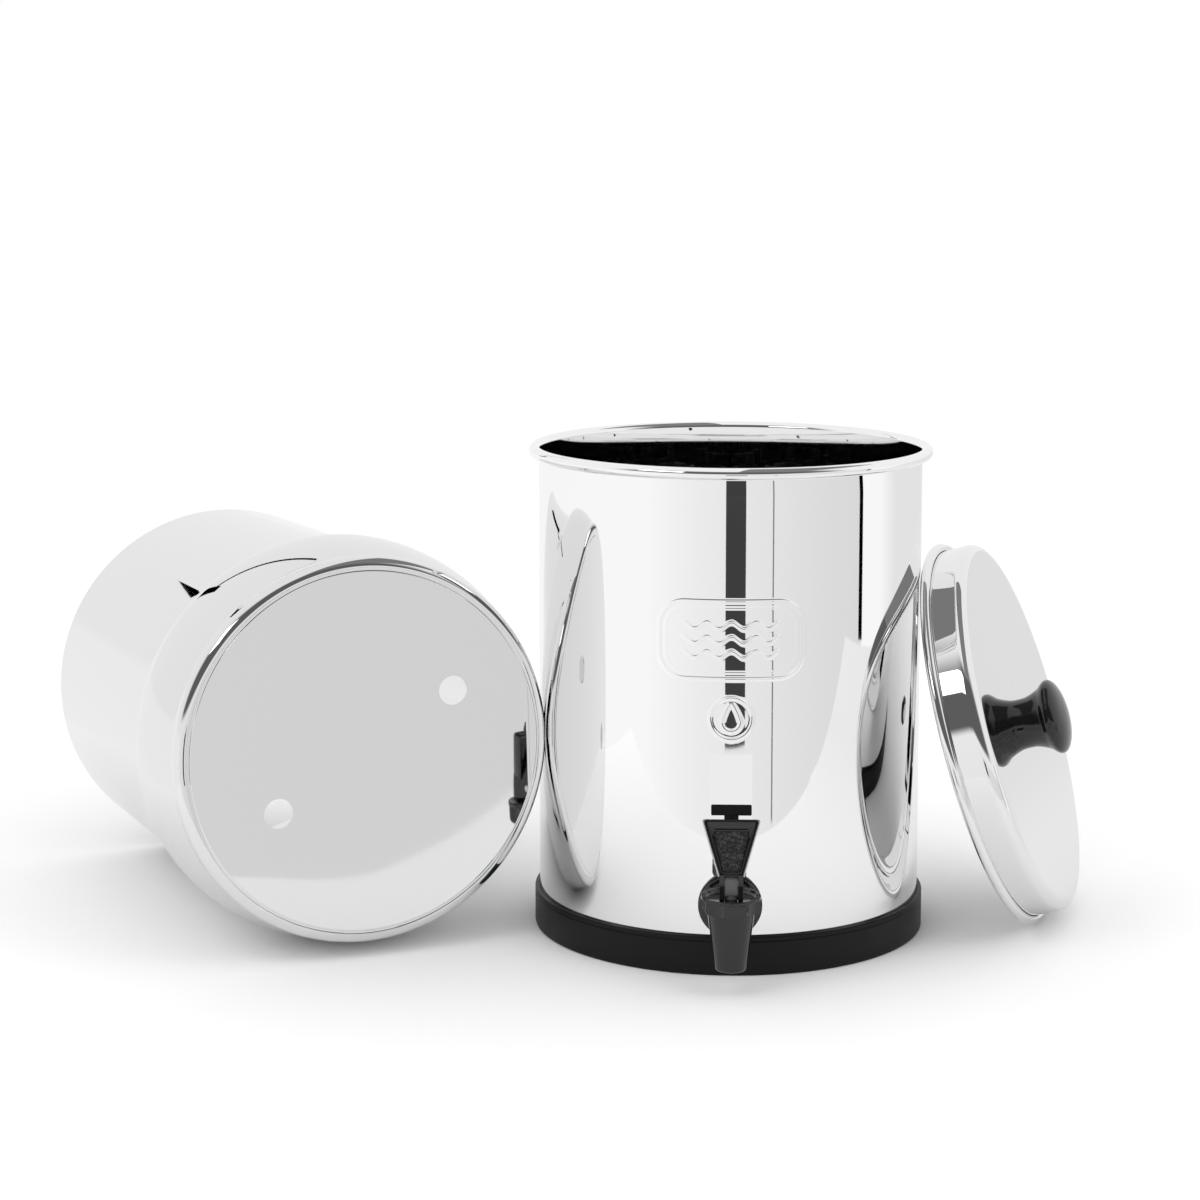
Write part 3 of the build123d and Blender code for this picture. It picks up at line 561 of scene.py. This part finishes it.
def lidKnob():
    # Mushroom knob: a waisted neck that flares to a round rim, under a shallow dome.
    k = knob
    corners = np.array([(k["seat"], 0), k["waist"], k["flare"], (k["rim"], k["rimAt"])])
    dome = arc((0, 0), 1, 0, 90, 40) * (k["rim"], k["height"] - k["rimAt"]) + (0, k["rimAt"])
    profile = profileOf(legs((0, 0), (k["seat"], 0)), throughPoints(corners, (0, 1), (0, 1), 48), dome)
    profile[:, 1] += sheet["wall"] + lid["washer"] / 2
    return turned(profile, lidAt, k["segments"])


put(meshObject("lidPan", lidPan()), "lid", "polished_steel", "steelRoundShaded", "lid_pan")
put(meshObject("lidKnob", lidKnob()), "lid", "black_gloss", "blackGloss", "lid_knob")
print("lid made")


base = {
    "inner": 90.35, "outer": 92.55, "height": 18.0, "floor": 2.5, "lip": 1.4, "foot": 2.0, "corner": 6.0,
    "groove": 0.35, "grooveAt": 2.2, "sideEnd": 2.6, "edge": 0.7, "chamfer": 0.3,
}


def rubberBase():
    # Shallow cup with a soft upper edge, a groove below it and a rolled foot.
    b = base
    lip, out, inner, top, c = b["lip"], b["outer"], b["inner"], b["height"], b["corner"]
    edge, cut, floor = b["edge"], b["chamfer"], b["floor"]
    profile = profileOf(
        legs((0, 0), (out - lip - b["foot"], 0, 12)), arc((out - lip, lip), lip, -90, 0, 8),
        legs((out, lip), (out, top - b["sideEnd"], 8)),
        arc((out, top - b["grooveAt"]), b["groove"], -90, -270, 7),
        arc((out - edge, top - edge), edge, 0, 90, 6),
        legs((out - edge, top), (inner + cut, top), (inner, top - cut), (inner, floor + c, 6)),
        arc((inner - c, floor + c), c, 0, -90, 8), legs((inner - c, floor), (0, floor, 6), (0, 0)))
    return turned(profile, upright, 256)


put(meshObject("rubberBase", rubberBase()), "lower", "base_rubber", "baseRubber", "rubber_base")
print("base made")


bonnetLow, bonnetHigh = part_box("tap_bonnet")
tapAt = placeOf(((bonnetLow.x + bonnetHigh.x) / 2, (bonnetLow.y + bonnetHigh.y) / 2, 0))
tap = {
    "z": 32.6, "reach": 30.0, "shank": 7.9, "inside": 16.0, "bore": 3.6, "barrel": 5.2, "root": 9.0,
    "flange": 14.0, "flangeThick": 2.6, "stepR": 11.6, "stepThick": 1.6, "washer": 2.0, "pitch": 1.8,
    "thread": 0.5, "threadEnd": 4.0, "plainFrom": 3.0, "spoutZ": 11.8, "spout": 7.0, "lip": 1.3,
    "spoutBore": 5.2, "chamfer": 0.3, "boreLength": 11.0, "body": 10.5, "coneTop": 37.9, "top": 41.0,
    "valve": 7.8, "seatZ": 25.0, "seatBore": 4.2, "overlap": 0.8, "soft": 0.35,
}
shankAt = placeOf((0, 0, tap["z"] * mm), axis=(0, -1, 0))


def threadSide(start, end, radius, depth, pitch):
    # Side view of a threaded stretch: a zigzag of the thread's depth, one tooth each pitch.
    count = int((end - start) / pitch)
    heights = start + pitch * np.arange(0, count + 0.01, 0.5)
    teeth = np.where(np.arange(len(heights)) % 2 == 0, radius - depth, radius)
    return np.stack([teeth, heights], axis=1)


def tapBody():
    # Spout and valve chamber turned about the stem's axis, and barrel, flange and threaded
    # shank turned about the shank's axis.
    t = tap
    z, r, lip, cut, spoutBore = t["spoutZ"], t["spout"], t["lip"], t["chamfer"], t["spoutBore"]
    body, top, valve, seat, seatZ = t["body"], t["top"], t["valve"], t["seatBore"], t["seatZ"]
    stand = profileOf(
        legs((spoutBore, z + cut), (spoutBore + cut, z), (r - lip, z, 3)),
        arc((r - lip, z + lip), lip, -90, 0, 8),
        legs((r, z + lip), (body, t["coneTop"], 24), (body, top, 3), (valve, top), (valve, seatZ, 6),
             (seat, seatZ, 3), (spoutBore, z + t["boreLength"], 3)))
    wall, soft, bore, barrel = lower["radius"], t["soft"], t["bore"], t["barrel"]
    shank, flange, step, root = t["shank"], t["flange"], t["stepR"], t["root"]
    back, face = wall - sheet["wall"] - t["inside"], wall + t["washer"]
    flangeEnd = face + t["flangeThick"]
    stepEnd = flangeEnd + t["stepThick"]
    neck, far = stepEnd + root - barrel, wall + t["reach"] - body + t["overlap"]
    lying = profileOf(
        legs((bore, back), (shank - t["thread"], back)),
        threadSide(back, wall - t["threadEnd"], shank, t["thread"], t["pitch"]),
        legs((shank, wall - t["plainFrom"]), (shank, face, 3), (flange - soft, face, 4)),
        arc((flange - soft, face + soft), soft, -90, 0, 4),
        arc((flange - soft, flangeEnd - soft), soft, 0, 90, 4),
        legs((step + soft, flangeEnd), (step, flangeEnd + soft)),
        arc((step - soft, stepEnd - soft), soft, 0, 90, 4), legs((step - soft, stepEnd), (root, stepEnd)),
        swept((root, stepEnd), (barrel, neck), (-0.5, 1), (0, 1), 12),
        legs((barrel, neck), (barrel, far, 5), (bore, far), (bore, back, 6)))
    return [turned(stand, tapAt, 160, closed=True), turned(lying, shankAt, 128)]


bonnet = {
    "radius": 13.2, "low": 38.0, "top": 45.6, "rim": 0.9, "rimSoft": 0.3, "dish": 44.0, "dishR": 10.6,
    "hole": 3.0, "inner": 10.6, "roof": 42.4, "pocket": 6.0, "shelf": 41.2, "round": 2.0, "flutes": 8,
    "turn": -81.0, "fluteR": 11.7, "fluteDepth": 2.1, "fluteTop": 1.4, "fadeOver": 0.9, "fadeIn": 0.3,
    "skin": 0.01, "segments": 240,
}


def bonnetRelief(turns, radius, height):
    # Flutes on the skirt. Each is a round scallop: at an angle off its middle, the wall meets a
    # circle about a centre outside the wall, and the relief fades out below the rim.
    b = bonnet
    pitch = 2 * pi / b["flutes"]
    off = (turns - radians(b["turn"]) + pitch / 2) % pitch - pitch / 2
    centre = b["radius"] + b["fluteR"] - b["fluteDepth"]
    inside = b["fluteR"] ** 2 - (centre * np.sin(off)) ** 2
    wall = np.where(inside > 0, centre * np.cos(off) - np.sqrt(np.maximum(inside, 0)), radius)
    cut = np.clip(radius - wall, 0, None)
    fade = np.clip((b["top"] - b["fluteTop"] - height) / b["fadeOver"], 0, 1)
    fade = fade * fade * (3 - 2 * fade)
    spare = radius - b["inner"] - b["skin"]
    outside = np.clip((spare - b["skin"]) / b["fadeIn"], 0, 1) * (height < b["top"] - b["rim"])
    return -np.minimum(cut * fade * outside, spare) * (radius > b["inner"])


def tapBonnet():
    # Fluted cap with a raised rim round a dished top and a hole for the stem.
    b = bonnet
    r, low, top, rim, soft, c = b["radius"], b["low"], b["top"], b["rim"], b["rimSoft"], b["round"]
    dish, dishR, hole, roof, pocket, shelf, inner = (
        b[name] for name in ("dish", "dishR", "hole", "roof", "pocket", "shelf", "inner"))
    profile = profileOf(
        legs((inner, low), (r - c, low, 5)), arc((r - c, low + c), c, -90, 0, 8),
        legs((r, low + c), (r, top - rim, 24)), arc((r - rim / 2, top - rim / 2), rim / 2, 0, 90, 6),
        arc((r - rim, top - soft), soft, 90, 180, 4),
        swept((r - rim - soft, top - soft), (dishR, dish), (-0.4, -1), (-1, 0), 14),
        legs((dishR, dish), (hole, dish, 8), (hole, roof), (pocket, roof, 3), (pocket, shelf),
             (inner, shelf, 3), (inner, low, 4)))
    return turned(profile, tapAt, b["segments"], closed=True, relief=bonnetRelief)


handle = {
    "pinZ": 50.2, "heel": (0, -8.8, 56.4), "lean": 18.0, "depth": 6.0, "lowHalf": 5.15, "topHalf": 12.4,
    "length": 24.4, "corners": (0.5, 0.5, 1.4, 1.4), "draft": 6.0, "border": 1.3, "edge": 0.42,
    "ledgeTop": 21.6, "ledge": 1.5, "ledgeSide": (0.15, 1.0), "ledgeDrop": 0.3, "floorLow": 1.7,
    "floorHigh": 19.4, "floorLowHalf": 3.75, "floorHalf": 7.7, "floor": 2.3, "floorIn": 0.12,
    "innerCorners": (0.4, 0.4, 0.8, 0.8), "hollow": (2.6, 3.85, 23.1, 9.0), "skin": 3.6,
    "earIn": 3.05, "ear": 2.1, "earBack": 4.6, "earTop": 16.0, "earFront": ((0, 0), (1.0, 0), (1.4, -3.0)),
    "earOver": 0.2, "footBack": 3.4, "footLow": 5.9, "camReach": 5.0, "camTurn": 36.0, "pin": 1.25,
    "tab": (17.8, 4.75), "tabRound": 0.6, "neck": (6.3, 2.0), "neckRound": 0.1, "lap": 0.6,
    "tabBack": 3.2, "tabThick": 2.4, "groove": (2.2, 0.8), "bevel": 0.28,
}
handleLean = radians(handle["lean"])
handleSide = np.array((1.0, 0, 0))
handleUp = np.array((0, sin(handleLean), cos(handleLean)))
handleOut = np.array((0, -cos(handleLean), sin(handleLean)))
handleHeel = tapAt["centre"] + mm * np.array(handle["heel"])


def onHandle(u, v, w):
    # Points u sideways, v up the paddle and w out of its front, in mm from its heel.
    return handleHeel + mm * (u[..., None] * handleSide + v[..., None] * handleUp + w[..., None] * handleOut)


def roundedOutline(corners, radii, count=7):
    # Closed outline with each corner turned into an arc that touches both of its edges. The arc runs
    # between the two touching points about a centre on the corner's bisector.
    corners = np.asarray(corners, float)
    radii = np.broadcast_to(np.asarray(radii, float), len(corners))
    before = np.roll(corners, 1, axis=0) - corners
    after = np.roll(corners, -1, axis=0) - corners
    before /= np.linalg.norm(before, axis=1)[:, None]
    after /= np.linalg.norm(after, axis=1)[:, None]
    half = np.arccos(np.clip((before * after).sum(axis=1), -0.9999, 0.9999)) / 2
    middle = before + after
    middle /= np.linalg.norm(middle, axis=1)[:, None]
    centre = corners + middle * (radii / np.sin(half))[:, None]
    first, last = (corners + way * (radii / np.tan(half))[:, None] - centre for way in (before, after))
    swing = (pi - 2 * half)[:, None, None]
    t = np.linspace(0, 1, count)[None, :, None]
    reach = np.sin((1 - t) * swing) * first[:, None] + np.sin(t * swing) * last[:, None]
    return (centre[:, None] + reach / np.sin(swing)).reshape(-1, 2)


def wedge(low, lowHalf, high, highHalf, inward=0.0):
    # Corners of a trapezoid whose four sides are moved inwards by the same distance.
    rise, spread = high - low, highHalf - lowHalf
    aside = inward * sqrt(rise**2 + spread**2) / rise
    ends = [(v, lowHalf + spread * (v - low) / rise - aside) for v in (low + inward, high - inward)]
    (v0, h0), (v1, h1) = ends
    return [(-h0, v0), (h0, v0), (h1, v1), (-h1, v1)]


def handlePaddle():
    # Rounded wedge lofted through outlines, each moved inwards and at its depth below the front face:
    # the hollow's floor, the back, the drafted side, the border, the slope, the ledge and the floor.
    h = handle
    e, b, depth = h["edge"], h["border"], h["depth"]
    spread = sin(radians(h["draft"])) * depth
    low, lowHalf, (lowMore, topMore) = h["floorLow"], h["floorLowHalf"], h["ledgeSide"]
    outer, hollow = (0, h["lowHalf"], h["length"], h["topHalf"]), h["hollow"]
    floor = (low, lowHalf, h["floorHigh"], h["floorHalf"])
    ledge = (low, lowHalf + lowMore, h["ledgeTop"], h["floorHalf"] + topMore)
    corner, sharp = h["corners"], h["innerCorners"]
    rings = [
        (hollow, 0, sharp, h["skin"]), (hollow, 0, sharp, depth),
        (outer, e - spread, corner, depth), (outer, e * 0.3 - spread, corner, depth - e * 0.3),
        (outer, -spread, corner, depth - e), (outer, 0, corner, e), (outer, e * 0.3, corner, e * 0.3),
        (outer, e, corner, 0), (outer, b - e * 0.6, sharp, 0), (outer, b, sharp, e * 0.25),
        (outer, b + e * 0.7, sharp, e), (ledge, 0, sharp, h["ledge"]),
        (floor, 0, sharp, h["ledge"] + h["ledgeDrop"]), (floor, h["floorIn"], sharp, h["floor"]),
    ]
    outlines = []
    for shape, inward, radii, below in rings:
        outline = roundedOutline(wedge(*shape, inward), radii)
        outlines.append(np.column_stack([outline, np.full(len(outline), -below)]))
    outlines = [outlines[0] * (0, 1, 1)] + outlines + [outlines[-1] * (0, 1, 1)]
    return onHandle(*np.concatenate(outlines).T), gridFaces(len(outlines), len(outlines[0]))


def handleEars():
    # Two ears with cam feet, each a side view carried sideways, and the neck and tab on the paddle's
    # top. A foot's front is the path of a point at a depth that grows evenly with the turn.
    h = handle
    turn = np.radians(np.linspace(0, h["camTurn"], 12))
    depth = h["footLow"] + h["camReach"] * turn
    foot = np.column_stack([-h["camReach"] * np.cos(turn) - depth * np.sin(turn),
                            h["camReach"] * np.sin(turn) - depth * np.cos(turn)])
    front = (*h["earFront"], (h["earTop"], h["earFront"][-1][1]), (h["earTop"], h["earOver"] - h["depth"]))
    front = [(np.array(h["heel"]) - (0, 0, h["pinZ"]) + v * handleUp + w * handleOut)[1:] for v, w in front]
    back = [(h["earBack"], h["heel"][2] - h["pinZ"]), (h["earBack"], 0), (h["footBack"], -h["footLow"])]
    side = np.concatenate([foot, front, back])
    pinAt = tapAt["centre"] + mm * np.array((0, 0, h["pinZ"]))
    rightwards, backwards, upwards = np.eye(3)
    parts = []
    for sign in (-1, 1):
        parts += slab(side, (pinAt, backwards, upwards, rightwards * sign),
                      h["earIn"], h["earIn"] + h["ear"], [(0, 0, h["pin"])])
    (wide, tall), (neckWide, neckTall), (cutWide, cut) = h["tab"], h["neck"], h["groove"]
    near, far, top = -h["tabBack"], -h["tabBack"] - h["tabThick"], h["length"] + neckTall
    lap, neckRound = h["lap"], h["neckRound"]

    def block(left, right, low, high, first, last, radius):
        outline = roundedOutline([(left, low), (right, low), (right, high), (left, high)], radius)
        return slab(outline, (handleHeel, handleSide, handleUp, handleOut), first, last)

    neck = (h["length"] - lap, top + lap)
    parts += block(-wide / 2, wide / 2, top, top + tall, near, far, h["tabRound"])
    parts += block(-neckWide / 2, neckWide / 2, *neck, near - cut, far, neckRound)
    for sign in (-1, 1):
        ends = sorted((sign * cutWide / 2, sign * neckWide / 2))
        parts += block(*ends, *neck, near, near - cut - neckRound, neckRound)
    return parts


def bevelled(piece, width, segments=3):
    # Flat stretches joined into single faces, then every sharp edge rounded.
    work = bmesh.new()
    work.from_mesh(piece.data)
    bmesh.ops.dissolve_limit(work, angle_limit=radians(1), verts=work.verts, edges=work.edges)
    work.to_mesh(piece.data)
    work.free()
    bevel = piece.modifiers.new("softEdges", "BEVEL")
    bevel.width, bevel.segments = width * mm, segments
    bevel.limit_method, bevel.angle_limit = "ANGLE", radians(40)
    return piece


panel = {
    "depth": 2.3, "lift": 0.02, "low": 1.75, "high": 19.35, "lowHalf": 3.68, "highHalf": 7.6, "step": 0.14,
    "pebble": 0.85, "spread": (0.7, 1.3), "rise": 0.3, "pebbles": 430, "thick": 0.3, "seed": 11,
}


def handlePanel():
    # Pebbled plate in the handle's recess. Each pebble is a cap whose height is rise * root of (1 -
    # (distance / radius) squared), and the highest counts. The recess widens evenly upwards.
    p = panel
    v = np.arange(p["low"], p["high"], p["step"])
    share = np.linspace(-1, 1, int(2 * p["highHalf"] / p["step"]))
    half = p["lowHalf"] + (p["highHalf"] - p["lowHalf"]) * (v - p["low"]) / (p["high"] - p["low"])
    u = half[:, None] * share[None, :]
    v = np.repeat(v[:, None], len(share), axis=1)
    dice = np.random.default_rng(p["seed"])
    spots = dice.uniform((-p["highHalf"], p["low"]), (p["highHalf"], p["high"]), (p["pebbles"], 2))
    sizes = p["pebble"] * dice.uniform(*p["spread"], p["pebbles"])
    height = np.zeros_like(u)
    for (x, y), size in zip(spots, sizes):
        height = np.maximum(height, 1 - ((u - x) ** 2 + (v - y) ** 2) / size**2)
    points = onHandle(u, v, p["rise"] * np.sqrt(height) - p["depth"] + p["lift"]).reshape(-1, 3)
    piece = meshObject("handlePanel", (points, gridFaces(*u.shape, closeColumns=False)), sharp=80)
    if piece.data.polygons[0].normal.dot(Vector(handleOut)) < 0:
        piece.data.flip_normals()
    thick = piece.modifiers.new("plate", "SOLIDIFY")
    thick.thickness, thick.offset = p["thick"] * mm, -1
    return piece


put(meshObject("tapBody", *tapBody()), "lower", "black_gloss", "blackGloss", "tap_body")
put(meshObject("tapBonnet", tapBonnet(), sharp=50), "lower", "black_gloss", "blackGloss", "tap_bonnet")
put(meshObject("handlePaddle", handlePaddle()), "tap_lever", "black_gloss", "blackGloss", "tap_handle")
ears = bevelled(meshObject("handleEars", *handleEars()), handle["bevel"])
put(ears, "tap_lever", "black_gloss", "blackGloss")
put(handlePanel(), "tap_lever", "black_gloss", "blackPebbled")


spring = {"radius": 4.4, "wire": 0.4, "turns": 5, "perTurn": 40, "round": 12, "squeezed": 0.7}


def tapSpring():
    # Coil of round wire, closed at both ends: at turn a the wire's middle is
    # (radius * cos a, radius * sin a, rise * a), with a circle of wire * (cos b outwards, sin b
    # upwards) round it.
    spots = nodePoints("tap_spring")
    low, high = spots.min(axis=0), spots.max(axis=0)
    middle = (low + high) / 2
    turn = np.linspace(0, 2 * pi * spring["turns"], spring["turns"] * spring["perTurn"] + 1)
    turn = np.concatenate([turn[:1], turn, turn[-1:]])
    wire = np.full(len(turn), spring["wire"] * mm)
    bottom, rise = low[2] + wire[0], (high[2] - low[2] - 2 * wire[0]) / turn[-1]
    wire[[0, -1]] = 0
    turn, wire = turn[:, None], wire[:, None]
    about = np.linspace(0, 2 * pi, spring["round"], endpoint=False)
    out = spring["radius"] * mm + wire * np.cos(about)
    points = np.stack([middle[0] + out * np.cos(turn), middle[1] + out * np.sin(turn),
                       bottom + rise * turn + wire * np.sin(about)], axis=-1)
    piece = meshObject("tapSpring", (points.reshape(-1, 3), gridFaces(len(turn), len(about))), sharp=60)
    put(piece, "lower", "spring_steel", "springSteel", "tap_spring")
    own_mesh(piece)


tapSpring()
print("tap made")


finishes = {
    "tap_outer_washer": "sealRubber", "tap_inner_washer": "sealRubber", "tap_nut": "blackGloss",
    "tap_stem": "greyStem", "tap_seat_cup": "softSilicone", "tap_handle_pin": "springSteel",
    "lid_knob_washer": "sealRubber", "lid_knob_screw": "springSteel",
}
filterFinishes = {
    "cartridge": "carbonBlock", "base_cap": "filterPlastic", "stem": "filterPlastic", "seal": "sealRubber",
    "wing_nut": "filterPlastic",
}
for tag in "ab":
    finishes.update({"filter_" + tag + "_" + part: name for part, name in filterFinishes.items()})
for node, name in finishes.items():
    piece = frame["nodes"][node]
    piece.data.materials.clear()
    piece.data.materials.append(finish[name])
print("finishes given to", len(finishes), "nodes")


studio = {
    "tableX": (-0.48, 0.82), "tableY": (-0.3235, 2.2), "apron": 3.2, "paleGrey": 0.8,
    "tableSeen": ((-0.45, 0.94), (-0.2, 0.88), (0.22, 0.86), (0.5, 0.78)),  # x, brightness in metal
    "below": (  # azimuth, brightness
        (-180, 0.95), (-100, 1.0), (-52, 1.0), (-20, 0.90), (0, 0.86), (25, 0.82), (60, 0.76),
        (83.5, 0.74), (84.5, 1.0), (100, 1.0), (115, 0.82), (150, 0.80), (180, 0.92)),
    "above": 0.93, "dark": 0.12, "horizon": (0.0, 0.05), "bandLow": (0.10, 0.2), "bandHigh": (0.72, 0.86),
    "bandFront": (0.25, 0.6),
    "cards": {  # centre, width, height, azimuth from -Y towards +X, brightness
        "gapCard": ((0.075, -1.5, -0.095), 0.3, 0.25, 0, 0.05),
        "seamCard": ((0.62, -1.38, -0.1275), 0.02, 0.335, 24, 0.2),
        # wallCard and lowWallCard stand just in front of the lower chamber's wall, between it and the tap:
        # only reflections see them, so they paint a plain light reflection where the tap's own would show.
        "wallCard": ((0, -0.0925, 0.0835), 0.0205, 0.0345, 0, 0.9),
        "lowWallCard": ((0, -0.0925, 0.0601), 0.019, 0.0119, 0, 0.95),
        "sideCard": ((0.84, -0.16, 0.09), 0.04, 0.18, 84, 0.0),
        "softboxCard": ((-0.68, -0.77, 0.89), 0.5, 0.35, -41, 2.5),
    },
    "strips": {  # four corners, brightness
        "boomCard": ([(-0.56, 0.41, 0.36), (-0.535, 0.4, 0.355), (-0.305, 0.38, 0.575),
                      (-0.315, 0.38, 0.597)], 0.0),
        "postCard": ([(-0.55, 0.51, 0.302), (-0.55, 0.44, 0.29), (-0.55, 0.37, 0.38),
                      (-0.55, 0.41, 0.405)], 0.0),
        "canopyCard": ([(0.06, -0.8, 1.0), (0.7, -0.8, 1.0), (0.7, 0.4, 1.0), (0.06, 0.4, 1.0)], 0.22),
    },
    "lamps": {  # place, size, watts
        "keyLamp": ((-0.9, -0.9, 1.3), 0.7, 3), "fillLamp": ((1.0, -0.7, 1.1), 0.8, 2),
    },
    "lampTarget": (0, 0, 0.1),
}
camera = {
    "place": (-0.0162, -1.3384, 0.3911), "yaw": 1.94, "pitch": 7.11, "lens": 85.59, "shift": -0.12,
    "sensor": 36, "near": 0.05, "far": 30,
}


def plate(name, corners, material):
    # Flat four-cornered card or floor of the studio.
    mesh = bpy.data.meshes.new(name)
    mesh.from_pydata(corners, [], [(0, 1, 2, 3)])
    piece = bpy.data.objects.new(name, mesh)
    piece.data.materials.append(material)
    scene.collection.objects.link(piece)
    return piece


def ground(name, x0, y0, x1, y1, material):
    # Level rectangle of floor.
    return plate(name, [(x0, y0, 0), (x1, y0, 0), (x1, y1, 0), (x0, y1, 0)], material)


def greyRamp(source, stops, low, high):
    # Greys along a value from 0 to 1, given as pairs of a spot between low and high and a brightness.
    ramp = addNode(source.id_data, "ValToRGB", {"Fac": source})
    made = ramp.color_ramp.elements
    for k, (spot, value) in enumerate(stops):
        stop = made[k] if k < 2 else made.new((spot - low) / (high - low))
        stop.position = (spot - low) / (high - low)
        stop.color = (value, value, value, 1)
    return ramp.outputs["Color"]


def floorMaterial():
    # White floor: what the camera sees is white, less the object's shadow. Metal sees it greyer, by
    # the distance along X.
    material, tree, shader = blank("paleFloor")
    tree.nodes.remove(shader)
    ray = addNode(tree, "LightPath").outputs
    x = addNode(tree, "SeparateXYZ", {0: addNode(tree, "TexCoord").outputs["Object"]}).outputs["X"]
    seenAlong = greyRamp(between(x, 0, 1, *studio["tableX"]), studio["tableSeen"], *studio["tableX"])
    plain, seen, mirrored = (
        addNode(tree, "BsdfDiffuse", {"Color": colour}).outputs[0]
        for colour in ((studio["paleGrey"],) * 3 + (1,), (1, 1, 1, 1), seenAlong))
    for label, closure in (("Is Camera Ray", seen), ("Is Glossy Ray", mirrored)):
        plain = addNode(tree, "MixShader", {0: ray[label], 1: plain, 2: closure}).outputs[0]
    fill(tree.nodes["Material Output"], {"Surface": plain})
    return material


def mirrorOnly(name, corners, value):
    # Card of one even brightness that only reflections see.
    material, tree, shader = blank(name)
    tree.nodes.remove(shader)
    glow = addNode(tree, "Emission", {"Color": (value, value, value, 1)})
    fill(tree.nodes["Material Output"], {"Surface": glow.outputs[0]})
    piece = plate(name, corners, material)
    piece.visible_camera = piece.visible_diffuse = piece.visible_shadow = False


def card(name, centre, width, height, facing, value):
    # Upright card that faces an azimuth.
    turn = radians(facing)
    side = Vector((cos(turn), sin(turn), 0)) * width / 2
    up = Vector((0, 0, height / 2))
    middle = Vector(centre)
    corners = [middle - side - up, middle + side - up, middle + side + up, middle - side + up]
    mirrorOnly(name, [tuple(c) for c in corners], value)


def room():
    # White room. Metal sees it greyer in front, by the direction's azimuth, and with a dark band over
    # the horizon in front: each mask runs smoothly between two values of the direction's height or depth.
    scene.world = bpy.data.worlds.new("studio")
    scene.world.use_nodes = True
    tree = scene.world.node_tree
    split = addNode(tree, "SeparateXYZ", {0: addNode(tree, "TexCoord").outputs["Generated"]}).outputs
    front = maths("MULTIPLY", split["Y"], -1)
    azimuth = maths("ARCTAN2", split["X"], front)
    turn = maths("MULTIPLY_ADD", azimuth, 1 / (2 * pi), 0.5)
    below = greyRamp(turn, studio["below"], -180, 180)
    rise, fall, over = (between(split["Z"], 0, 1, *studio[edge], "SMOOTHSTEP")
                        for edge in ("bandLow", "bandHigh", "horizon"))
    ahead = between(front, 0, 1, *studio["bandFront"], "SMOOTHSTEP")
    band = maths("MULTIPLY", maths("SUBTRACT", rise, fall), ahead)
    above = maths("MULTIPLY_ADD", band, studio["dark"] - studio["above"], studio["above"])
    mirrored = addNode(tree, "Mix", {"Factor": over, "A": below, "B": above}, data_type="RGBA")
    glossy = addNode(tree, "LightPath").outputs["Is Glossy Ray"]
    white = {"Factor": glossy, "A": (1, 1, 1, 1), "B": mirrored.outputs["Result"]}
    mix = addNode(tree, "Mix", white, data_type="RGBA")
    fill(tree.nodes["Background"], {"Color": mix.outputs["Result"], "Strength": 1.0})


def aimed(name, data, place, way):
    # Lamp or camera at a place, looking along a direction.
    piece = bpy.data.objects.new(name, data)
    piece.location = place
    piece.rotation_euler = way.to_track_quat("-Z", "Y").to_euler()
    scene.collection.objects.link(piece)
    return piece


def lamp(name, place, size, watts):
    # Soft square lamp aimed at the object, which mirrors don't show as a square.
    data = bpy.data.lights.new(name, "AREA")
    data.shape, data.size, data.energy = "SQUARE", size, watts
    aimed(name, data, place, Vector(studio["lampTarget"]) - Vector(place)).visible_glossy = False


def studioSet():
    # Table, a wider floor round it that metal doesn't see, cards, lamps.
    floor = floorMaterial()
    (left, right), (front, back), wide = studio["tableX"], studio["tableY"], studio["apron"]
    ground("tableFloor", left, front, right, back, floor)
    for sides in ((-wide, -wide, wide, front), (-wide, back, wide, wide), (-wide, front, left, back),
                  (right, front, wide, back)):
        ground("apronFloor", *sides, floor).visible_glossy = False
    for name, look in studio["cards"].items():
        card(name, *look)
    for name, look in studio["strips"].items():
        mirrorOnly(name, *look)
    for name, look in studio["lamps"].items():
        lamp(name, *look)


def studioCamera():
    # Camera at its measured place, aimed by yaw and pitch.
    data = bpy.data.cameras.new("camera")
    data.lens, data.sensor_width, data.shift_y = camera["lens"], camera["sensor"], camera["shift"]
    data.clip_start, data.clip_end = camera["near"], camera["far"]
    yaw, pitch = radians(camera["yaw"]), radians(camera["pitch"])
    way = Vector((-sin(yaw) * cos(pitch), cos(yaw) * cos(pitch), -sin(pitch)))
    bpy.context.scene.camera = aimed("camera", data, camera["place"], way)


studioSet()
room()
studioCamera()
bpy.context.scene.view_settings.view_transform = "Standard"
print("studio set")
